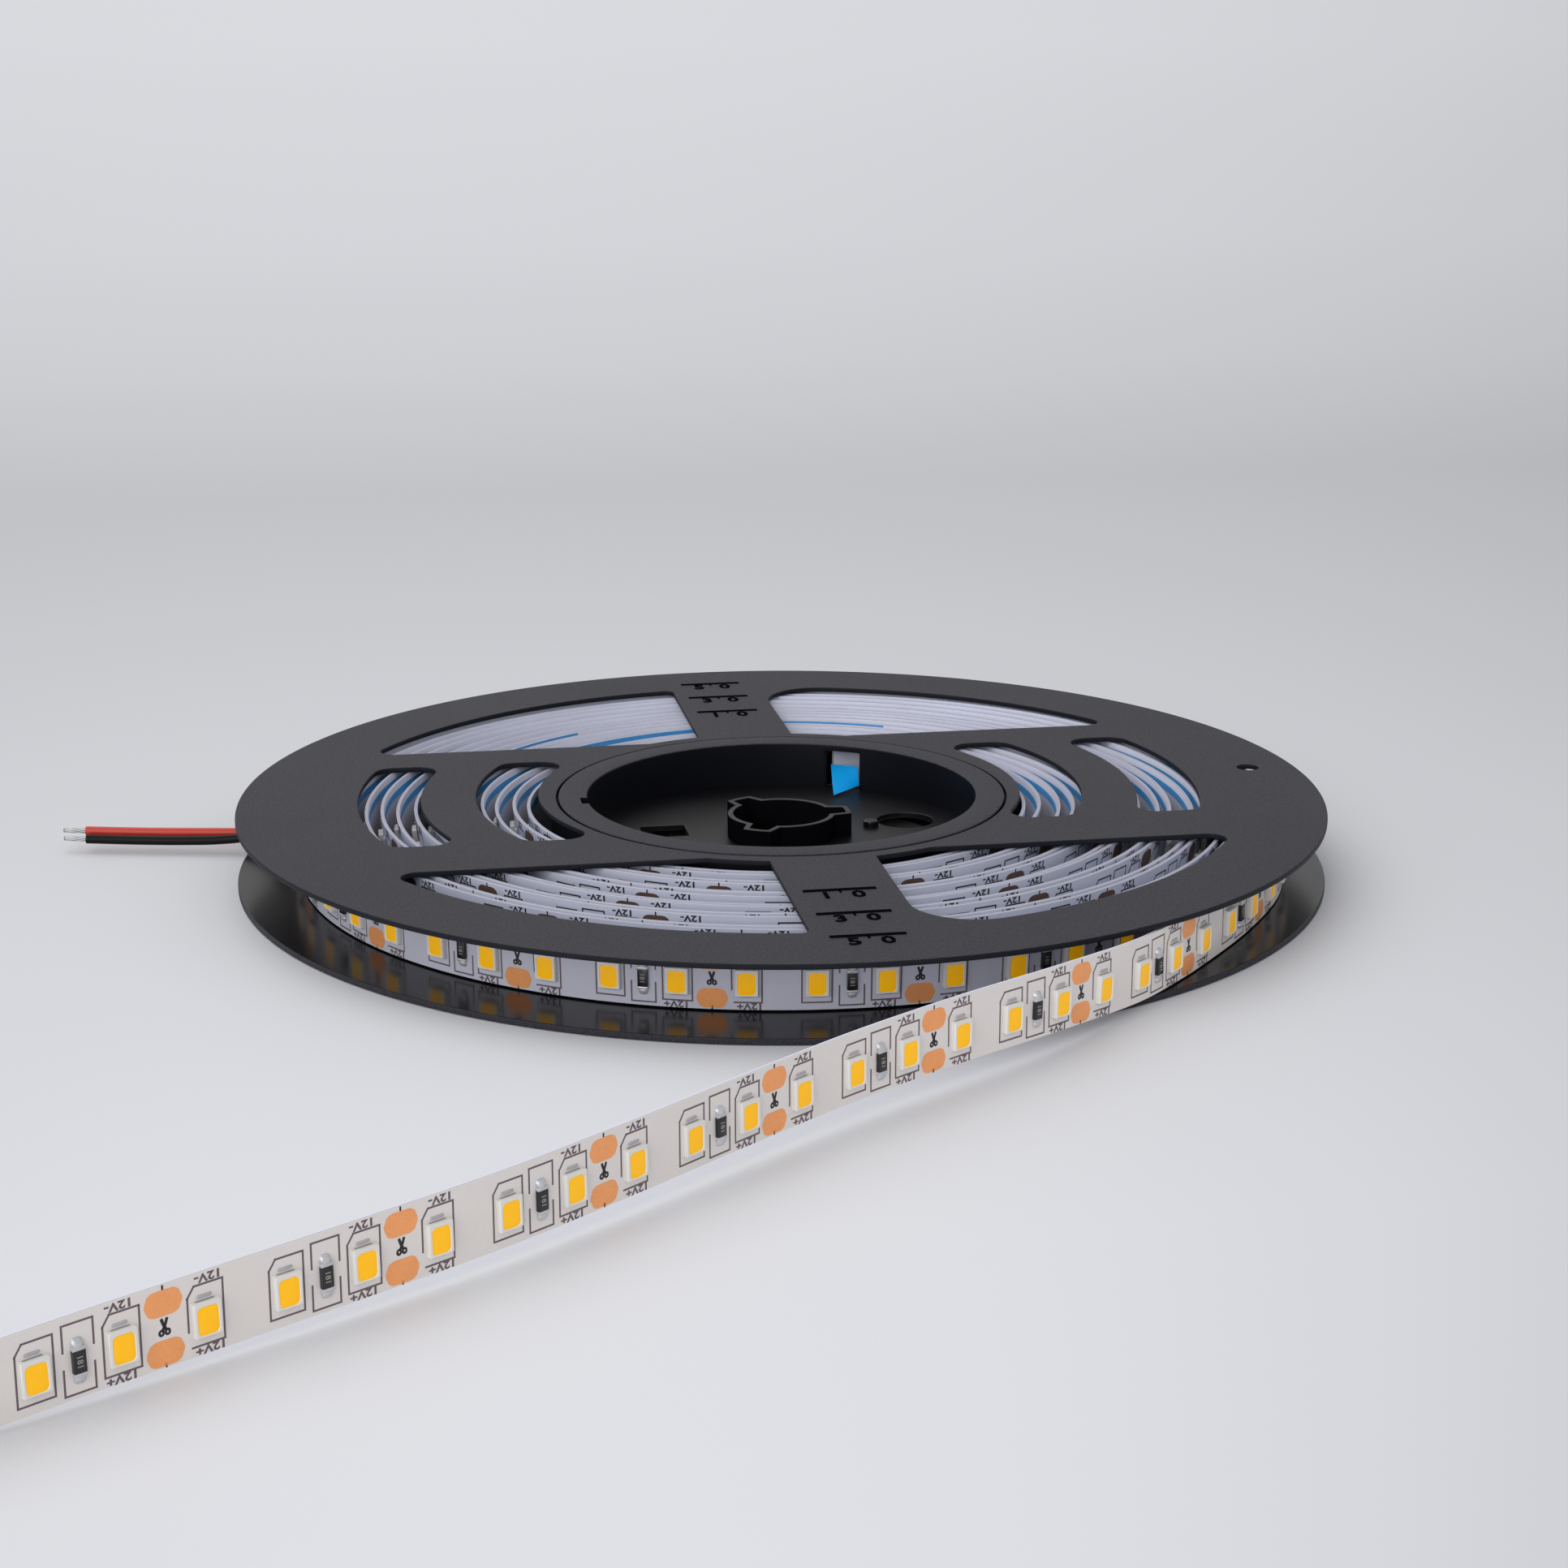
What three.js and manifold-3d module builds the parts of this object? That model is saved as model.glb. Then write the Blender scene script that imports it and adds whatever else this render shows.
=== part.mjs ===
// Reel of flexible light strip: a two-part moulded spool, the wound strip with its
// unwound run, the lamps and resistors along that run, and the two lead wires.
// Millimetres, +Z up. The reel lies on its lower flange.
import * as THREE from 'three';
import { mergeVertices } from 'three/addons/utils/BufferGeometryUtils.js';
import Module from 'manifold-3d';

const wasm = await Module();
wasm.setup();

// Spool
const flangeRadius = 75;
const flangeSides = 120;
const ringSides = 96;
const flangeThickness = 0.8;
const windowOuterRadius = 63.3;
const bandInset = 3.4;
const spokeWidth = 14;
const squareCornerRadius = 1.2;
const roundCornerRadius = 8;
const tipCornerRadius = 2.2;
const collarWidth = 1.4;
const slotFromDrum = 1.6;
const slotOuterStart = 49.8;
const slotWidth = 8.6;
const slotHalfLength = 20.3;
const slotShift = 2;
const slotCornerRadius = 2.8;
const tieHoleDiameter = 3.6;
const tieHoleFromRim = 6.8;
const smallHoleSides = 24;

// Hub
const cupRadius = 27;
const cupWall = 1.2;
const drumRadius = 32;
const drumWall = 1.2;
const shoulderWidth = 1;
const shoulderDrop = 0.2;
const ringThickness = 1.8;
const webTop = 3.7;
const webThickness = 0.8;
const snapClearance = 0.3;
const keyNotchWidth = 3;
const keyNotchDepth = 1;

// Arbor boss on the web
const arborRadius = 6.7;
const arborArcSteps = 8;
const arborWall = 0.8;
const arborTop = 7;
const arborFoot = 0.6;
const lobeReach = 9;
const lobeHalfWidth = 1.7;
const lobeCount = 3;
const lobeFill = 0.8;

// Web openings
const webSlotSize = [6.3, 5.6];
const webSlotCentre = [-15.9, 4.8];
const webHoleRadius = 4;
const webHoleCentre = [18.6, 4.6];
const pegRadius = 1.1;
const pegHeight = 0.9;
const pegCentre = [13.2, 2.4];

// Strip
const stripWidth = 8;
const stripThickness = 0.45;
const edgeClearance = 0.2;
const coilClearance = 1;
const coilOuterRadius = 65.5;
const coilTurns = 14;
const coilStepsPerTurn = 36;
const lampsPerSegment = 3;
const segmentLength = 25;
const lampPitch = segmentLength / lampsPerSegment;
const slotBearing = 61;
const slotOpening = 5.4;
const innerEndClearance = 0.5;
const innerEndTurn = 14;
const innerEndLead = 4;
const innerEndLength = 14;
const innerEndSteps = 10;
const joiningTurn = 24;
const runSteps = 360;

// Lamps and resistors
const runLampCount = 26;
const coilLampCount = 46;
const resistorCount = 8;
const sectionJointShift = -2.3;
const lampWidth = 2.8;
const lampHeight = 3.5;
const lampDepth = 0.7;
const lampWindowInset = 0.32;
const lampWindowDepth = 0.12;
const lampCentreHeight = 3.6;
const solderGap = 0.3;
const resistorWidth = 1.6;
const resistorHeight = 3.2;
const resistorDepth = 0.5;
const resistorCap = 0.42;
const resistorCapRise = 0.06;

// Tape tab at the inner end
const tabWidth = 3.4;
const tabThickness = 0.4;
const tabSlant = 1.4;
const tabTopInWall = 0.9;
const tabTopHeight = 8;
const tabFootInCup = 5;
const tabFootClearance = 0.5;

// Lead wires
const leadDiameter = 1.3;
const leadSides = 8;
const leadSteps = 12;
const conductorDiameter = 0.8;
const conductorLength = 3;
const leadGap = 0.3;

// Route from the coil to the rim: bearing in degrees, and distance outside the coil where the
// rim is exitRimWidth wide
const exitRimWidth = 9.5;
const exitRoute = [[-25.6, 3.7], [-39.4, 3.9], [-52.9, 6.1], [-59.2, 8.1]];

// Route outside the reel: bearing in degrees, distance outside the rim, and height of the
// lower edge as a multiple of its height inside the reel
const runRoute = [
  [-65.3, 1.1, 1.1], [-76.6, 7.1, 2.0], [-86.7, 14.3, 2.3], [-95.0, 23.8, 2.2],
  [-101.4, 35.7, 2.0], [-106.4, 48.9, 1.8], [-110.6, 62.6, 1.55], [-114.4, 76.3, 1.3],
  [-117.7, 90.2, 0.95], [-120.5, 104.5, 0.5], [-122.3, 115.7, 0],
];

// Routes of the lead wires from their solder joints outwards: x, y, z
const redRoute = [
  [-64.85, 16.85, 2.6], [-67.2, 17.2, 2.6], [-70.6, 17.7, 2.55], [-74.7, 18.4, 2.5],
  [-79.0, 19.2, 2.5], [-85.7, 20.6, 2.45], [-91.0, 21.8, 2.45], [-96.3, 23.0, 2.5],
];
const blackRoute = [
  [-65.15, 15.3, 7.0], [-67.4, 15.6, 6.2], [-70.4, 16.0, 4.2], [-73.7, 16.6, 2.4],
  [-77.7, 17.4, 1.85], [-82.0, 18.2, 1.72], [-88.0, 19.5, 1.68], [-96.2, 21.4, 1.75],
];

const cupOuter = cupRadius + cupWall;
const drumInner = drumRadius - drumWall;
const hubRingRadius = drumRadius - shoulderWidth;
const hubCollarRadius = drumRadius + collarWidth;
const bandHalfWidth = hubCollarRadius - bandInset;
const slotInnerStart = drumRadius + slotFromDrum;
const coilInnerRadius = drumRadius + coilClearance;
const innerEndRadius = cupOuter + innerEndClearance;
const tabTop = [cupRadius + tabTopInWall, tabTopHeight];
const tabFoot = [cupRadius - tabFootInCup, webTop + tabFootClearance];

const gap = stripWidth + 2 * edgeClearance;
const upperFlangeBottom = flangeThickness + gap;
const reelHeight = gap + 2 * flangeThickness;
const stripRest = flangeThickness + edgeClearance;

const plastic = { color: 0x47494f, roughness: 0.5, metalness: 0 };
const board = { color: 0xe2e1df, roughness: 0.55, metalness: 0 };
const lampBody = { color: 0xf2efe6, roughness: 0.4, metalness: 0 };
const resistorBody = { color: 0x16171a, roughness: 0.45, metalness: 0 };
const tapeBlue = { color: 0x0a8fd6, roughness: 0.5, metalness: 0 };
const redSleeve = { color: 0xc8321e, roughness: 0.5, metalness: 0 };
const blackSleeve = { color: 0x1b1b1d, roughness: 0.5, metalness: 0 };
const tin = { color: 0xb9babc, roughness: 0.35, metalness: 1 };

const degrees = (angle) => THREE.MathUtils.degToRad(angle);
const polar = (radius, angle) => new THREE.Vector2(radius * Math.cos(angle), radius * Math.sin(angle));

// Solids

function toSolid(geometry) {
  const bare = geometry.index ? geometry.toNonIndexed() : geometry.clone();
  bare.deleteAttribute('normal');
  bare.deleteAttribute('uv');
  const merged = mergeVertices(bare, 1e-5);
  const mesh = new wasm.Mesh({
    numProp: 3,
    vertProperties: new Float32Array(merged.attributes.position.array),
    triVerts: new Uint32Array(merged.index.array),
  });
  return new wasm.Manifold(mesh);
}

function toGeometry(solid) {
  const mesh = solid.getMesh();
  const geometry = new THREE.BufferGeometry();
  geometry.setAttribute('position', new THREE.BufferAttribute(new Float32Array(mesh.vertProperties), 3));
  geometry.setIndex(new THREE.BufferAttribute(new Uint32Array(mesh.triVerts), 1));
  geometry.computeVertexNormals();
  return geometry;
}

function extrude(shape, bottom, height) {
  const geometry = new THREE.ExtrudeGeometry(shape, { depth: height, bevelEnabled: false });
  geometry.translate(0, 0, bottom);
  return geometry;
}

function revolve(profile, segments) {
  const closed = [...profile, profile[0]].map(([radius, height]) => new THREE.Vector2(radius, height));
  const geometry = new THREE.LatheGeometry(closed, segments);
  geometry.rotateX(Math.PI / 2);
  return geometry;
}

function box(low, high) {
  const size = high.map((value, axis) => value - low[axis]);
  const geometry = new THREE.BoxGeometry(...size);
  geometry.translate(...low.map((value, axis) => value + size[axis] / 2));
  return geometry;
}

function node(name, geometry, look) {
  const mesh = new THREE.Mesh(geometry, new THREE.MeshStandardMaterial(look));
  mesh.name = name;
  return mesh;
}

function circlePath(radius, count, centre = [0, 0]) {
  const points = [];
  for (let i = 0; i < count; i += 1) {
    const point = polar(radius, (2 * Math.PI * i) / count);
    points.push(new THREE.Vector2(point.x + centre[0], point.y + centre[1]));
  }
  return points;
}

function arc(centre, radius, from, to, count) {
  const points = [];
  for (let i = 0; i <= count; i += 1) {
    const point = polar(radius, from + ((to - from) * i) / count);
    points.push(new THREE.Vector2(point.x + centre.x, point.y + centre.y));
  }
  return points;
}

// Flange outline

// Window in the first quadrant, between spoke, rim, band and hub collar
function windowOutline(cornerRadius) {
  const spoke = spokeWidth / 2;
  const axis = new THREE.Vector2(0, 0);
  const cornerReach = windowOuterRadius - cornerRadius;
  const corner = new THREE.Vector2(spoke + cornerRadius, 0);
  corner.y = Math.sqrt(cornerReach ** 2 - corner.x ** 2);
  const tipReach = windowOuterRadius - tipCornerRadius;
  const tip = new THREE.Vector2(0, bandHalfWidth + tipCornerRadius);
  tip.x = Math.sqrt(tipReach ** 2 - tip.y ** 2);
  const collarEnd = Math.asin(bandHalfWidth / hubCollarRadius);
  const collarStart = Math.acos(spoke / hubCollarRadius);
  return [
    ...arc(corner, cornerRadius, Math.PI, corner.angle(), cornerRadius > squareCornerRadius ? 8 : 3),
    ...arc(axis, windowOuterRadius, corner.angle(), tip.angle(), 14).slice(1, -1),
    ...arc(tip, tipCornerRadius, tip.angle(), -Math.PI / 2, 6),
    ...arc(axis, hubCollarRadius, collarEnd, collarStart, 5),
  ];
}

// Crescent slot on the +X side, cut off at both ends by lines across the band
function slotOutline(start) {
  const end = start + slotWidth;
  const r = slotCornerRadius;
  const axis = new THREE.Vector2(0, 0);
  const level = slotHalfLength - r;
  const outer = new THREE.Vector2(Math.sqrt((end - r) ** 2 - level ** 2), level);
  const inner = new THREE.Vector2(Math.sqrt((start + r) ** 2 - level ** 2), level);
  const innerTurn = inner.angle() + Math.PI;
  const upper = [
    ...arc(axis, end, 0, outer.angle(), 7).slice(1, -1),
    ...arc(outer, r, outer.angle(), Math.PI / 2, 4),
    ...arc(inner, r, Math.PI / 2, innerTurn, 4),
    ...arc(axis, start, inner.angle(), 0, 5).slice(1, -1),
  ];
  const lower = [...upper].reverse().map((point) => new THREE.Vector2(point.x, -point.y));
  const outline = [new THREE.Vector2(end, 0), ...upper, new THREE.Vector2(start, 0), ...lower];
  return outline.map((point) => new THREE.Vector2(point.x, point.y + slotShift));
}

function mirrored(points, signX, signY) {
  return points.map((point) => new THREE.Vector2(point.x * signX, point.y * signY));
}

function flangeShape(boreRadius) {
  const shape = new THREE.Shape(circlePath(flangeRadius, flangeSides));
  shape.holes.push(new THREE.Path(circlePath(boreRadius, ringSides)));
  for (const side of [1, -1]) {
    const corner = side > 0 ? roundCornerRadius : squareCornerRadius;
    for (const end of [1, -1]) {
      shape.holes.push(new THREE.Path(mirrored(windowOutline(corner), side, end)));
    }
    for (const start of [slotInnerStart, slotOuterStart]) {
      shape.holes.push(new THREE.Path(mirrored(slotOutline(start), side, 1)));
    }
  }
  const tieHole = [flangeRadius - tieHoleFromRim, slotShift];
  shape.holes.push(new THREE.Path(circlePath(tieHoleDiameter / 2, smallHoleSides, tieHole)));
  return shape;
}

// Hub

function arborOutline(radius, reach, halfWidth) {
  const points = [];
  const side = Math.asin(halfWidth / radius);
  const tipSide = Math.asin(halfWidth / reach) * lobeFill;
  const axis = new THREE.Vector2(0, 0);
  for (let i = 0; i < lobeCount; i += 1) {
    const bearing = (2 * Math.PI * i) / lobeCount;
    const next = bearing + (2 * Math.PI) / lobeCount;
    points.push(...arc(axis, reach, bearing - tipSide, bearing + tipSide, 3));
    points.push(...arc(axis, radius, bearing + side, next - side, arborArcSteps));
  }
  return points;
}

function hubProfile() {
  const cavityTop = reelHeight - ringThickness;
  const shoulder = upperFlangeBottom - shoulderDrop;
  return [
    [cupRadius, 0], [cupOuter, 0], [cupOuter, cavityTop], [drumInner, cavityTop], [drumInner, 0],
    [drumRadius, 0], [drumRadius, shoulder], [hubRingRadius, shoulder], [hubRingRadius, reelHeight],
    [cupRadius, reelHeight],
  ];
}

function hubAndLowerFlange() {
  const webBottom = webTop - webThickness;
  const innerOutline = arborOutline(arborRadius, lobeReach, lobeHalfWidth);
  const outerOutline = arborOutline(
    arborRadius + arborWall,
    lobeReach + arborWall,
    lobeHalfWidth + arborWall,
  );
  const boss = extrude(new THREE.Shape(outerOutline), arborFoot, arborTop - arborFoot);
  const bore = extrude(new THREE.Shape(innerOutline), -1, reelHeight + 2);
  const webDisc = new THREE.Shape(circlePath(cupRadius + cupWall / 2, ringSides));
  const halfSlot = webSlotSize.map((size) => size / 2);
  const webSlot = box(
    [webSlotCentre[0] - halfSlot[0], webSlotCentre[1] - halfSlot[1], webBottom - 1],
    [webSlotCentre[0] + halfSlot[0], webSlotCentre[1] + halfSlot[1], webTop + 1],
  );
  const webHole = new THREE.Shape(circlePath(webHoleRadius, smallHoleSides, webHoleCentre));
  const peg = new THREE.Shape(circlePath(pegRadius, smallHoleSides, pegCentre));
  const keyNotch = box(
    [-cupRadius - keyNotchDepth, -keyNotchWidth / 2, reelHeight - ringThickness / 2],
    [-cupRadius + keyNotchDepth, keyNotchWidth / 2, reelHeight + 1],
  );
  return toSolid(extrude(flangeShape(drumInner), 0, flangeThickness))
    .add(toSolid(revolve(hubProfile(), ringSides)))
    .add(toSolid(extrude(webDisc, webBottom, webThickness)))
    .add(toSolid(boss))
    .subtract(toSolid(bore))
    .subtract(toSolid(webSlot))
    .subtract(toSolid(extrude(webHole, webBottom - 1, webThickness + 2)))
    .add(toSolid(extrude(peg, webTop - webThickness / 2, pegHeight + webThickness / 2)))
    .subtract(toSolid(keyNotch))
    .subtract(toSolid(stripSlot()));
}

// Opening through the drum, and above the web through the cup wall, for the strip's inner end
function stripSlot() {
  const half = slotOpening / 2;
  const throughDrum = box([cupOuter, -half, flangeThickness], [drumRadius + 1, half, upperFlangeBottom]);
  const throughCup = box([cupRadius - 1, -half, webTop], [cupOuter + 1, half, upperFlangeBottom]);
  const opening = toGeometry(toSolid(throughDrum).add(toSolid(throughCup)));
  opening.rotateZ(degrees(slotBearing));
  return opening;
}

function upperFlange() {
  return toSolid(extrude(flangeShape(hubRingRadius + snapClearance), upperFlangeBottom, flangeThickness));
}

// Strip centreline

// Bearing of the coil's inner end, and how far the coil has turned at the front and at the exit
const startBearing = slotBearing + innerEndLead;
const turnedAtFront = 360 * coilTurns + startBearing + 90;
const turnedAtExit = turnedAtFront + 270 - exitRoute[0][0];

function station(radius, bearing, height) {
  const point = polar(radius, degrees(bearing));
  return new THREE.Vector3(point.x, point.y, height);
}

function betweenCoilAndRim(distance) {
  return coilOuterRadius + (distance * (flangeRadius - coilOuterRadius)) / exitRimWidth;
}

// The coil turns clockwise seen from above and loosens over its last turn, up to the run
function coilStation(turned) {
  const slope = (coilOuterRadius - coilInnerRadius) / turnedAtFront;
  const tuck = Math.max(0, 1 - turned / innerEndTurn);
  const loosening = Math.max(0, (turned - turnedAtFront) / (turnedAtExit - turnedAtFront));
  const spare = betweenCoilAndRim(exitRoute[0][1]) - coilInnerRadius - slope * turnedAtExit;
  const inwards = (coilInnerRadius - innerEndRadius) * tuck ** 2;
  const radius = coilInnerRadius + slope * turned - inwards + spare * loosening ** 2;
  return station(radius, startBearing - turned, stripRest);
}

// Points along the lower edge of the whole strip, from its free end to its inner end
function stripPoints() {
  const joining = [joiningTurn, joiningTurn / 2].map((back) => coilStation(turnedAtExit - back));
  const leaving = exitRoute.map(([bearing, distance]) => (
    station(betweenCoilAndRim(distance), bearing, stripRest)
  ));
  const run = runRoute.map(([bearing, beyond, height]) => (
    station(flangeRadius + beyond, bearing, stripRest * height)
  ));
  const route = [...joining, ...leaving, ...run].reverse();
  const curve = new THREE.CatmullRomCurve3(route, false, 'centripetal');
  const places = curve.getSpacedPoints(runSteps);
  for (let turned = turnedAtExit - joiningTurn - 1; turned > 0; turned -= 1) {
    places.push(coilStation(turned));
  }
  return [...places, coilStation(0)];
}

const points = stripPoints();
const lengths = [0];
for (let i = 1; i < points.length; i += 1) {
  lengths.push(lengths[i - 1] + points[i].distanceTo(points[i - 1]));
}
const stripLength = lengths[lengths.length - 1];

function pointAt(length) {
  const next = Math.max(1, lengths.findIndex((value) => value >= length));
  const share = (length - lengths[next - 1]) / (lengths[next] - lengths[next - 1]);
  return points[next - 1].clone().lerp(points[next], share);
}

function lampLength(index) {
  return (index + 0.5) * lampPitch + (index < runLampCount ? 0 : sectionJointShift);
}

// Lengths at which the strip is bent: either side of each lamp, then coarser inside the coil
function stripStops() {
  const stops = [0];
  for (let i = 0; i < runLampCount + coilLampCount; i += 1) {
    stops.push(lampLength(i) - lampPitch / 4, lampLength(i) + lampPitch / 4);
  }
  const tuckStart = stripLength - innerEndLength;
  let next = stops[stops.length - 1];
  while (next < tuckStart) {
    stops.push(next);
    const place = pointAt(next);
    next += (2 * Math.PI * Math.hypot(place.x, place.y)) / coilStepsPerTurn;
  }
  for (let i = 0; i <= innerEndSteps; i += 1) {
    stops.push(tuckStart + (innerEndLength * i) / innerEndSteps);
  }
  return stops.filter((stop, i) => i === 0 || stop - stops[i - 1] > lampPitch / 20);
}

// Unit vector out of the lamp side of the strip, level with the table
function lampSide(from, to) {
  return new THREE.Vector3(to.y - from.y, from.x - to.x, 0).normalize();
}

function bandGeometry() {
  const places = stripStops().map(pointAt);
  const positions = [];
  places.forEach((place, i) => {
    const side = lampSide(places[Math.max(i - 1, 0)], places[Math.min(i + 1, places.length - 1)]);
    side.multiplyScalar(stripThickness / 2);
    for (const [across, up] of [[-1, 0], [1, 0], [1, stripWidth], [-1, stripWidth]]) {
      positions.push(place.x + side.x * across, place.y + side.y * across, place.z + up);
    }
  });
  const last = 4 * (places.length - 1);
  const faces = [0, 1, 2, 0, 2, 3, last, last + 2, last + 1, last, last + 3, last + 2];
  for (let i = 0; i < last; i += 4) {
    for (let j = 0; j < 4; j += 1) {
      const a = i + j;
      const b = i + ((j + 1) % 4);
      faces.push(a, a + 4, b, b, a + 4, b + 4);
    }
  }
  const geometry = new THREE.BufferGeometry();
  geometry.setAttribute('position', new THREE.Float32BufferAttribute(positions, 3));
  geometry.setIndex(faces);
  return geometry;
}

// Frame on the lamp side at a length: x along the strip, y up, z out of the face
function faceFrame(length, height, standoff) {
  const from = pointAt(length - lampPitch / 4);
  const to = pointAt(length + lampPitch / 4);
  const along = to.clone().sub(from).normalize();
  const out = lampSide(from, to);
  const up = new THREE.Vector3().crossVectors(out, along);
  const place = from.add(to).multiplyScalar(0.5);
  place.addScaledVector(out, stripThickness / 2 + standoff);
  place.addScaledVector(up, height);
  return new THREE.Matrix4().makeBasis(along, up, out).setPosition(place);
}

// Strip, with the coil's outer lamps moulded onto it
function stripSolid() {
  let strip = toSolid(bandGeometry());
  const sunk = stripThickness / 3;
  for (let i = runLampCount; i < runLampCount + coilLampCount; i += 1) {
    const lamp = new THREE.BoxGeometry(lampWidth, lampHeight, lampDepth + sunk);
    lamp.applyMatrix4(faceFrame(lampLength(i), lampCentreHeight, (lampDepth - sunk) / 2));
    strip = strip.add(toSolid(lamp));
  }
  return strip;
}

// Lamps and resistors

function lampSolid() {
  const half = [lampWidth / 2, lampHeight / 2];
  const windowHalf = half.map((size) => size - lampWindowInset);
  const body = box([-half[0], -half[1], 0], [half[0], half[1], lampDepth]);
  const pocket = box(
    [-windowHalf[0], -windowHalf[1], lampDepth - lampWindowDepth],
    [windowHalf[0], windowHalf[1], lampDepth + 1],
  );
  return toSolid(body).subtract(toSolid(pocket));
}

function resistorSolid() {
  const half = [resistorWidth / 2, resistorHeight / 2];
  const body = box([-half[0], -half[1], 0], [half[0], half[1], resistorDepth]);
  const capTop = resistorDepth + resistorCapRise;
  const upper = box([-half[0], half[1] - resistorCap, 0], [half[0], half[1], capTop]);
  const lower = box([-half[0], -half[1], 0], [half[0], resistorCap - half[1], capTop]);
  return toSolid(body).add(toSolid(upper)).add(toSolid(lower));
}

function mounted(name, solid, look, length) {
  const geometry = toGeometry(solid);
  geometry.applyMatrix4(faceFrame(length, lampCentreHeight, solderGap));
  return node(name, geometry, look);
}

// Tape tab

// The tab hangs from the strip's inner end down to the web, with a slanted foot
function tapeTab() {
  const drop = Math.hypot(tabTop[0] - tabFoot[0], tabTop[1] - tabFoot[1]);
  const half = tabWidth / 2;
  const outline = new THREE.Shape([
    new THREE.Vector2(-half, 0),
    new THREE.Vector2(half, tabSlant),
    new THREE.Vector2(half, drop),
    new THREE.Vector2(-half, drop),
  ]);
  const geometry = extrude(outline, -tabThickness / 2, tabThickness);
  const foot = station(tabFoot[0], slotBearing, tabFoot[1]);
  const along = station(tabTop[0], slotBearing, tabTop[1]).sub(foot).normalize();
  const across = station(1, slotBearing + 90, 0);
  const face = new THREE.Vector3().crossVectors(across, along);
  geometry.applyMatrix4(new THREE.Matrix4().makeBasis(across, along, face).setPosition(foot));
  return geometry;
}

// Lead wires

function tube(route, diameter, steps) {
  const places = route.map((place) => new THREE.Vector3(...place));
  const path = new THREE.CatmullRomCurve3(places, false, 'centripetal');
  const section = new THREE.Shape(circlePath(diameter / 2, leadSides));
  return new THREE.ExtrudeGeometry(section, { steps, extrudePath: path, bevelEnabled: false });
}

// Bare end of a lead, in line with its last two route points
function conductor(route) {
  const [before, end] = route.slice(-2).map((place) => new THREE.Vector3(...place));
  const along = end.clone().sub(before).normalize();
  const start = end.clone().addScaledVector(along, leadGap);
  const tip = start.clone().addScaledVector(along, conductorLength);
  return tube([start.toArray(), tip.toArray()], conductorDiameter, 1);
}

// Assembly

const reel = new THREE.Group();
reel.add(node('hub_and_lower_flange', toGeometry(hubAndLowerFlange()), plastic));
reel.add(node('upper_flange', toGeometry(upperFlange()), plastic));
reel.add(node('led_strip', toGeometry(stripSolid()), board));
for (let i = 0; i < runLampCount; i += 1) {
  const name = `led_${String(i + 1).padStart(2, '0')}`;
  reel.add(mounted(name, lampSolid(), lampBody, lampLength(i)));
}
for (let i = 0; i < resistorCount; i += 1) {
  const length = (lampsPerSegment * (i + 1) - 1) * lampPitch;
  reel.add(mounted(`resistor_0${i + 1}`, resistorSolid(), resistorBody, length));
}
reel.add(node('tape_tab', tapeTab(), tapeBlue));

const middle = new THREE.Box3().setFromObject(reel, true).getCenter(new THREE.Vector3());
reel.add(node('lead_red', tube(redRoute, leadDiameter, leadSteps), redSleeve));
reel.add(node('lead_black', tube(blackRoute, leadDiameter, leadSteps), blackSleeve));
reel.add(node('lead_red_end', conductor(redRoute), tin));
reel.add(node('lead_black_end', conductor(blackRoute), tin));
reel.position.set(-middle.x, -middle.y, 0);

const object = new THREE.Group();
object.add(reel);

export default object;
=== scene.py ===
"""Dressed model of the light strip reel: spool, wound strip, lamps, print and leads."""
import math

import bmesh
import bpy
import numpy as np
from mathutils import Matrix, Vector


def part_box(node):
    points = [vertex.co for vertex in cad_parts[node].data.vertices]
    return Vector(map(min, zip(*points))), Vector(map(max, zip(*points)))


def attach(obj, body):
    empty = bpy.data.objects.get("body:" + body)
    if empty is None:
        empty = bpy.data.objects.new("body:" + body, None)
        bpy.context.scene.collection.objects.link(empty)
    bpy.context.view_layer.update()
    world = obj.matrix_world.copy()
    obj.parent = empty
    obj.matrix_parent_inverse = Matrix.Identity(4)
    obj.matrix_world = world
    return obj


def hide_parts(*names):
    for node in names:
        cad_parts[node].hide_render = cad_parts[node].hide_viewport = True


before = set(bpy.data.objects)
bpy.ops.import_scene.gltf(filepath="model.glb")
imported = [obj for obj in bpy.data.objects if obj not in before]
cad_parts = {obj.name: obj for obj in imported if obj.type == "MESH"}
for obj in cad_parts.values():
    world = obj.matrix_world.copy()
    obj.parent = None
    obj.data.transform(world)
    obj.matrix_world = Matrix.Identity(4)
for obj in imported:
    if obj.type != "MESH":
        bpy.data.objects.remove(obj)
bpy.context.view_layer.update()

MM = 0.001

# Camera: place in metres from the reel axis, lens in millimetres, angles in radians
CAMERA_PLACE = (-0.0668, -0.39922, 0.12112)
CAMERA_LENS = 69.18
CAMERA_TURN = math.radians(-9.552)
CAMERA_DIP = 0.2654
CAMERA_ROLL = -0.0011

# Reel axis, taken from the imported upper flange
flange_low, flange_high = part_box("upper_flange")
AXIS = Vector(((flange_low.x + flange_high.x) / 2, (flange_low.y + flange_high.y) / 2, 0))

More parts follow.
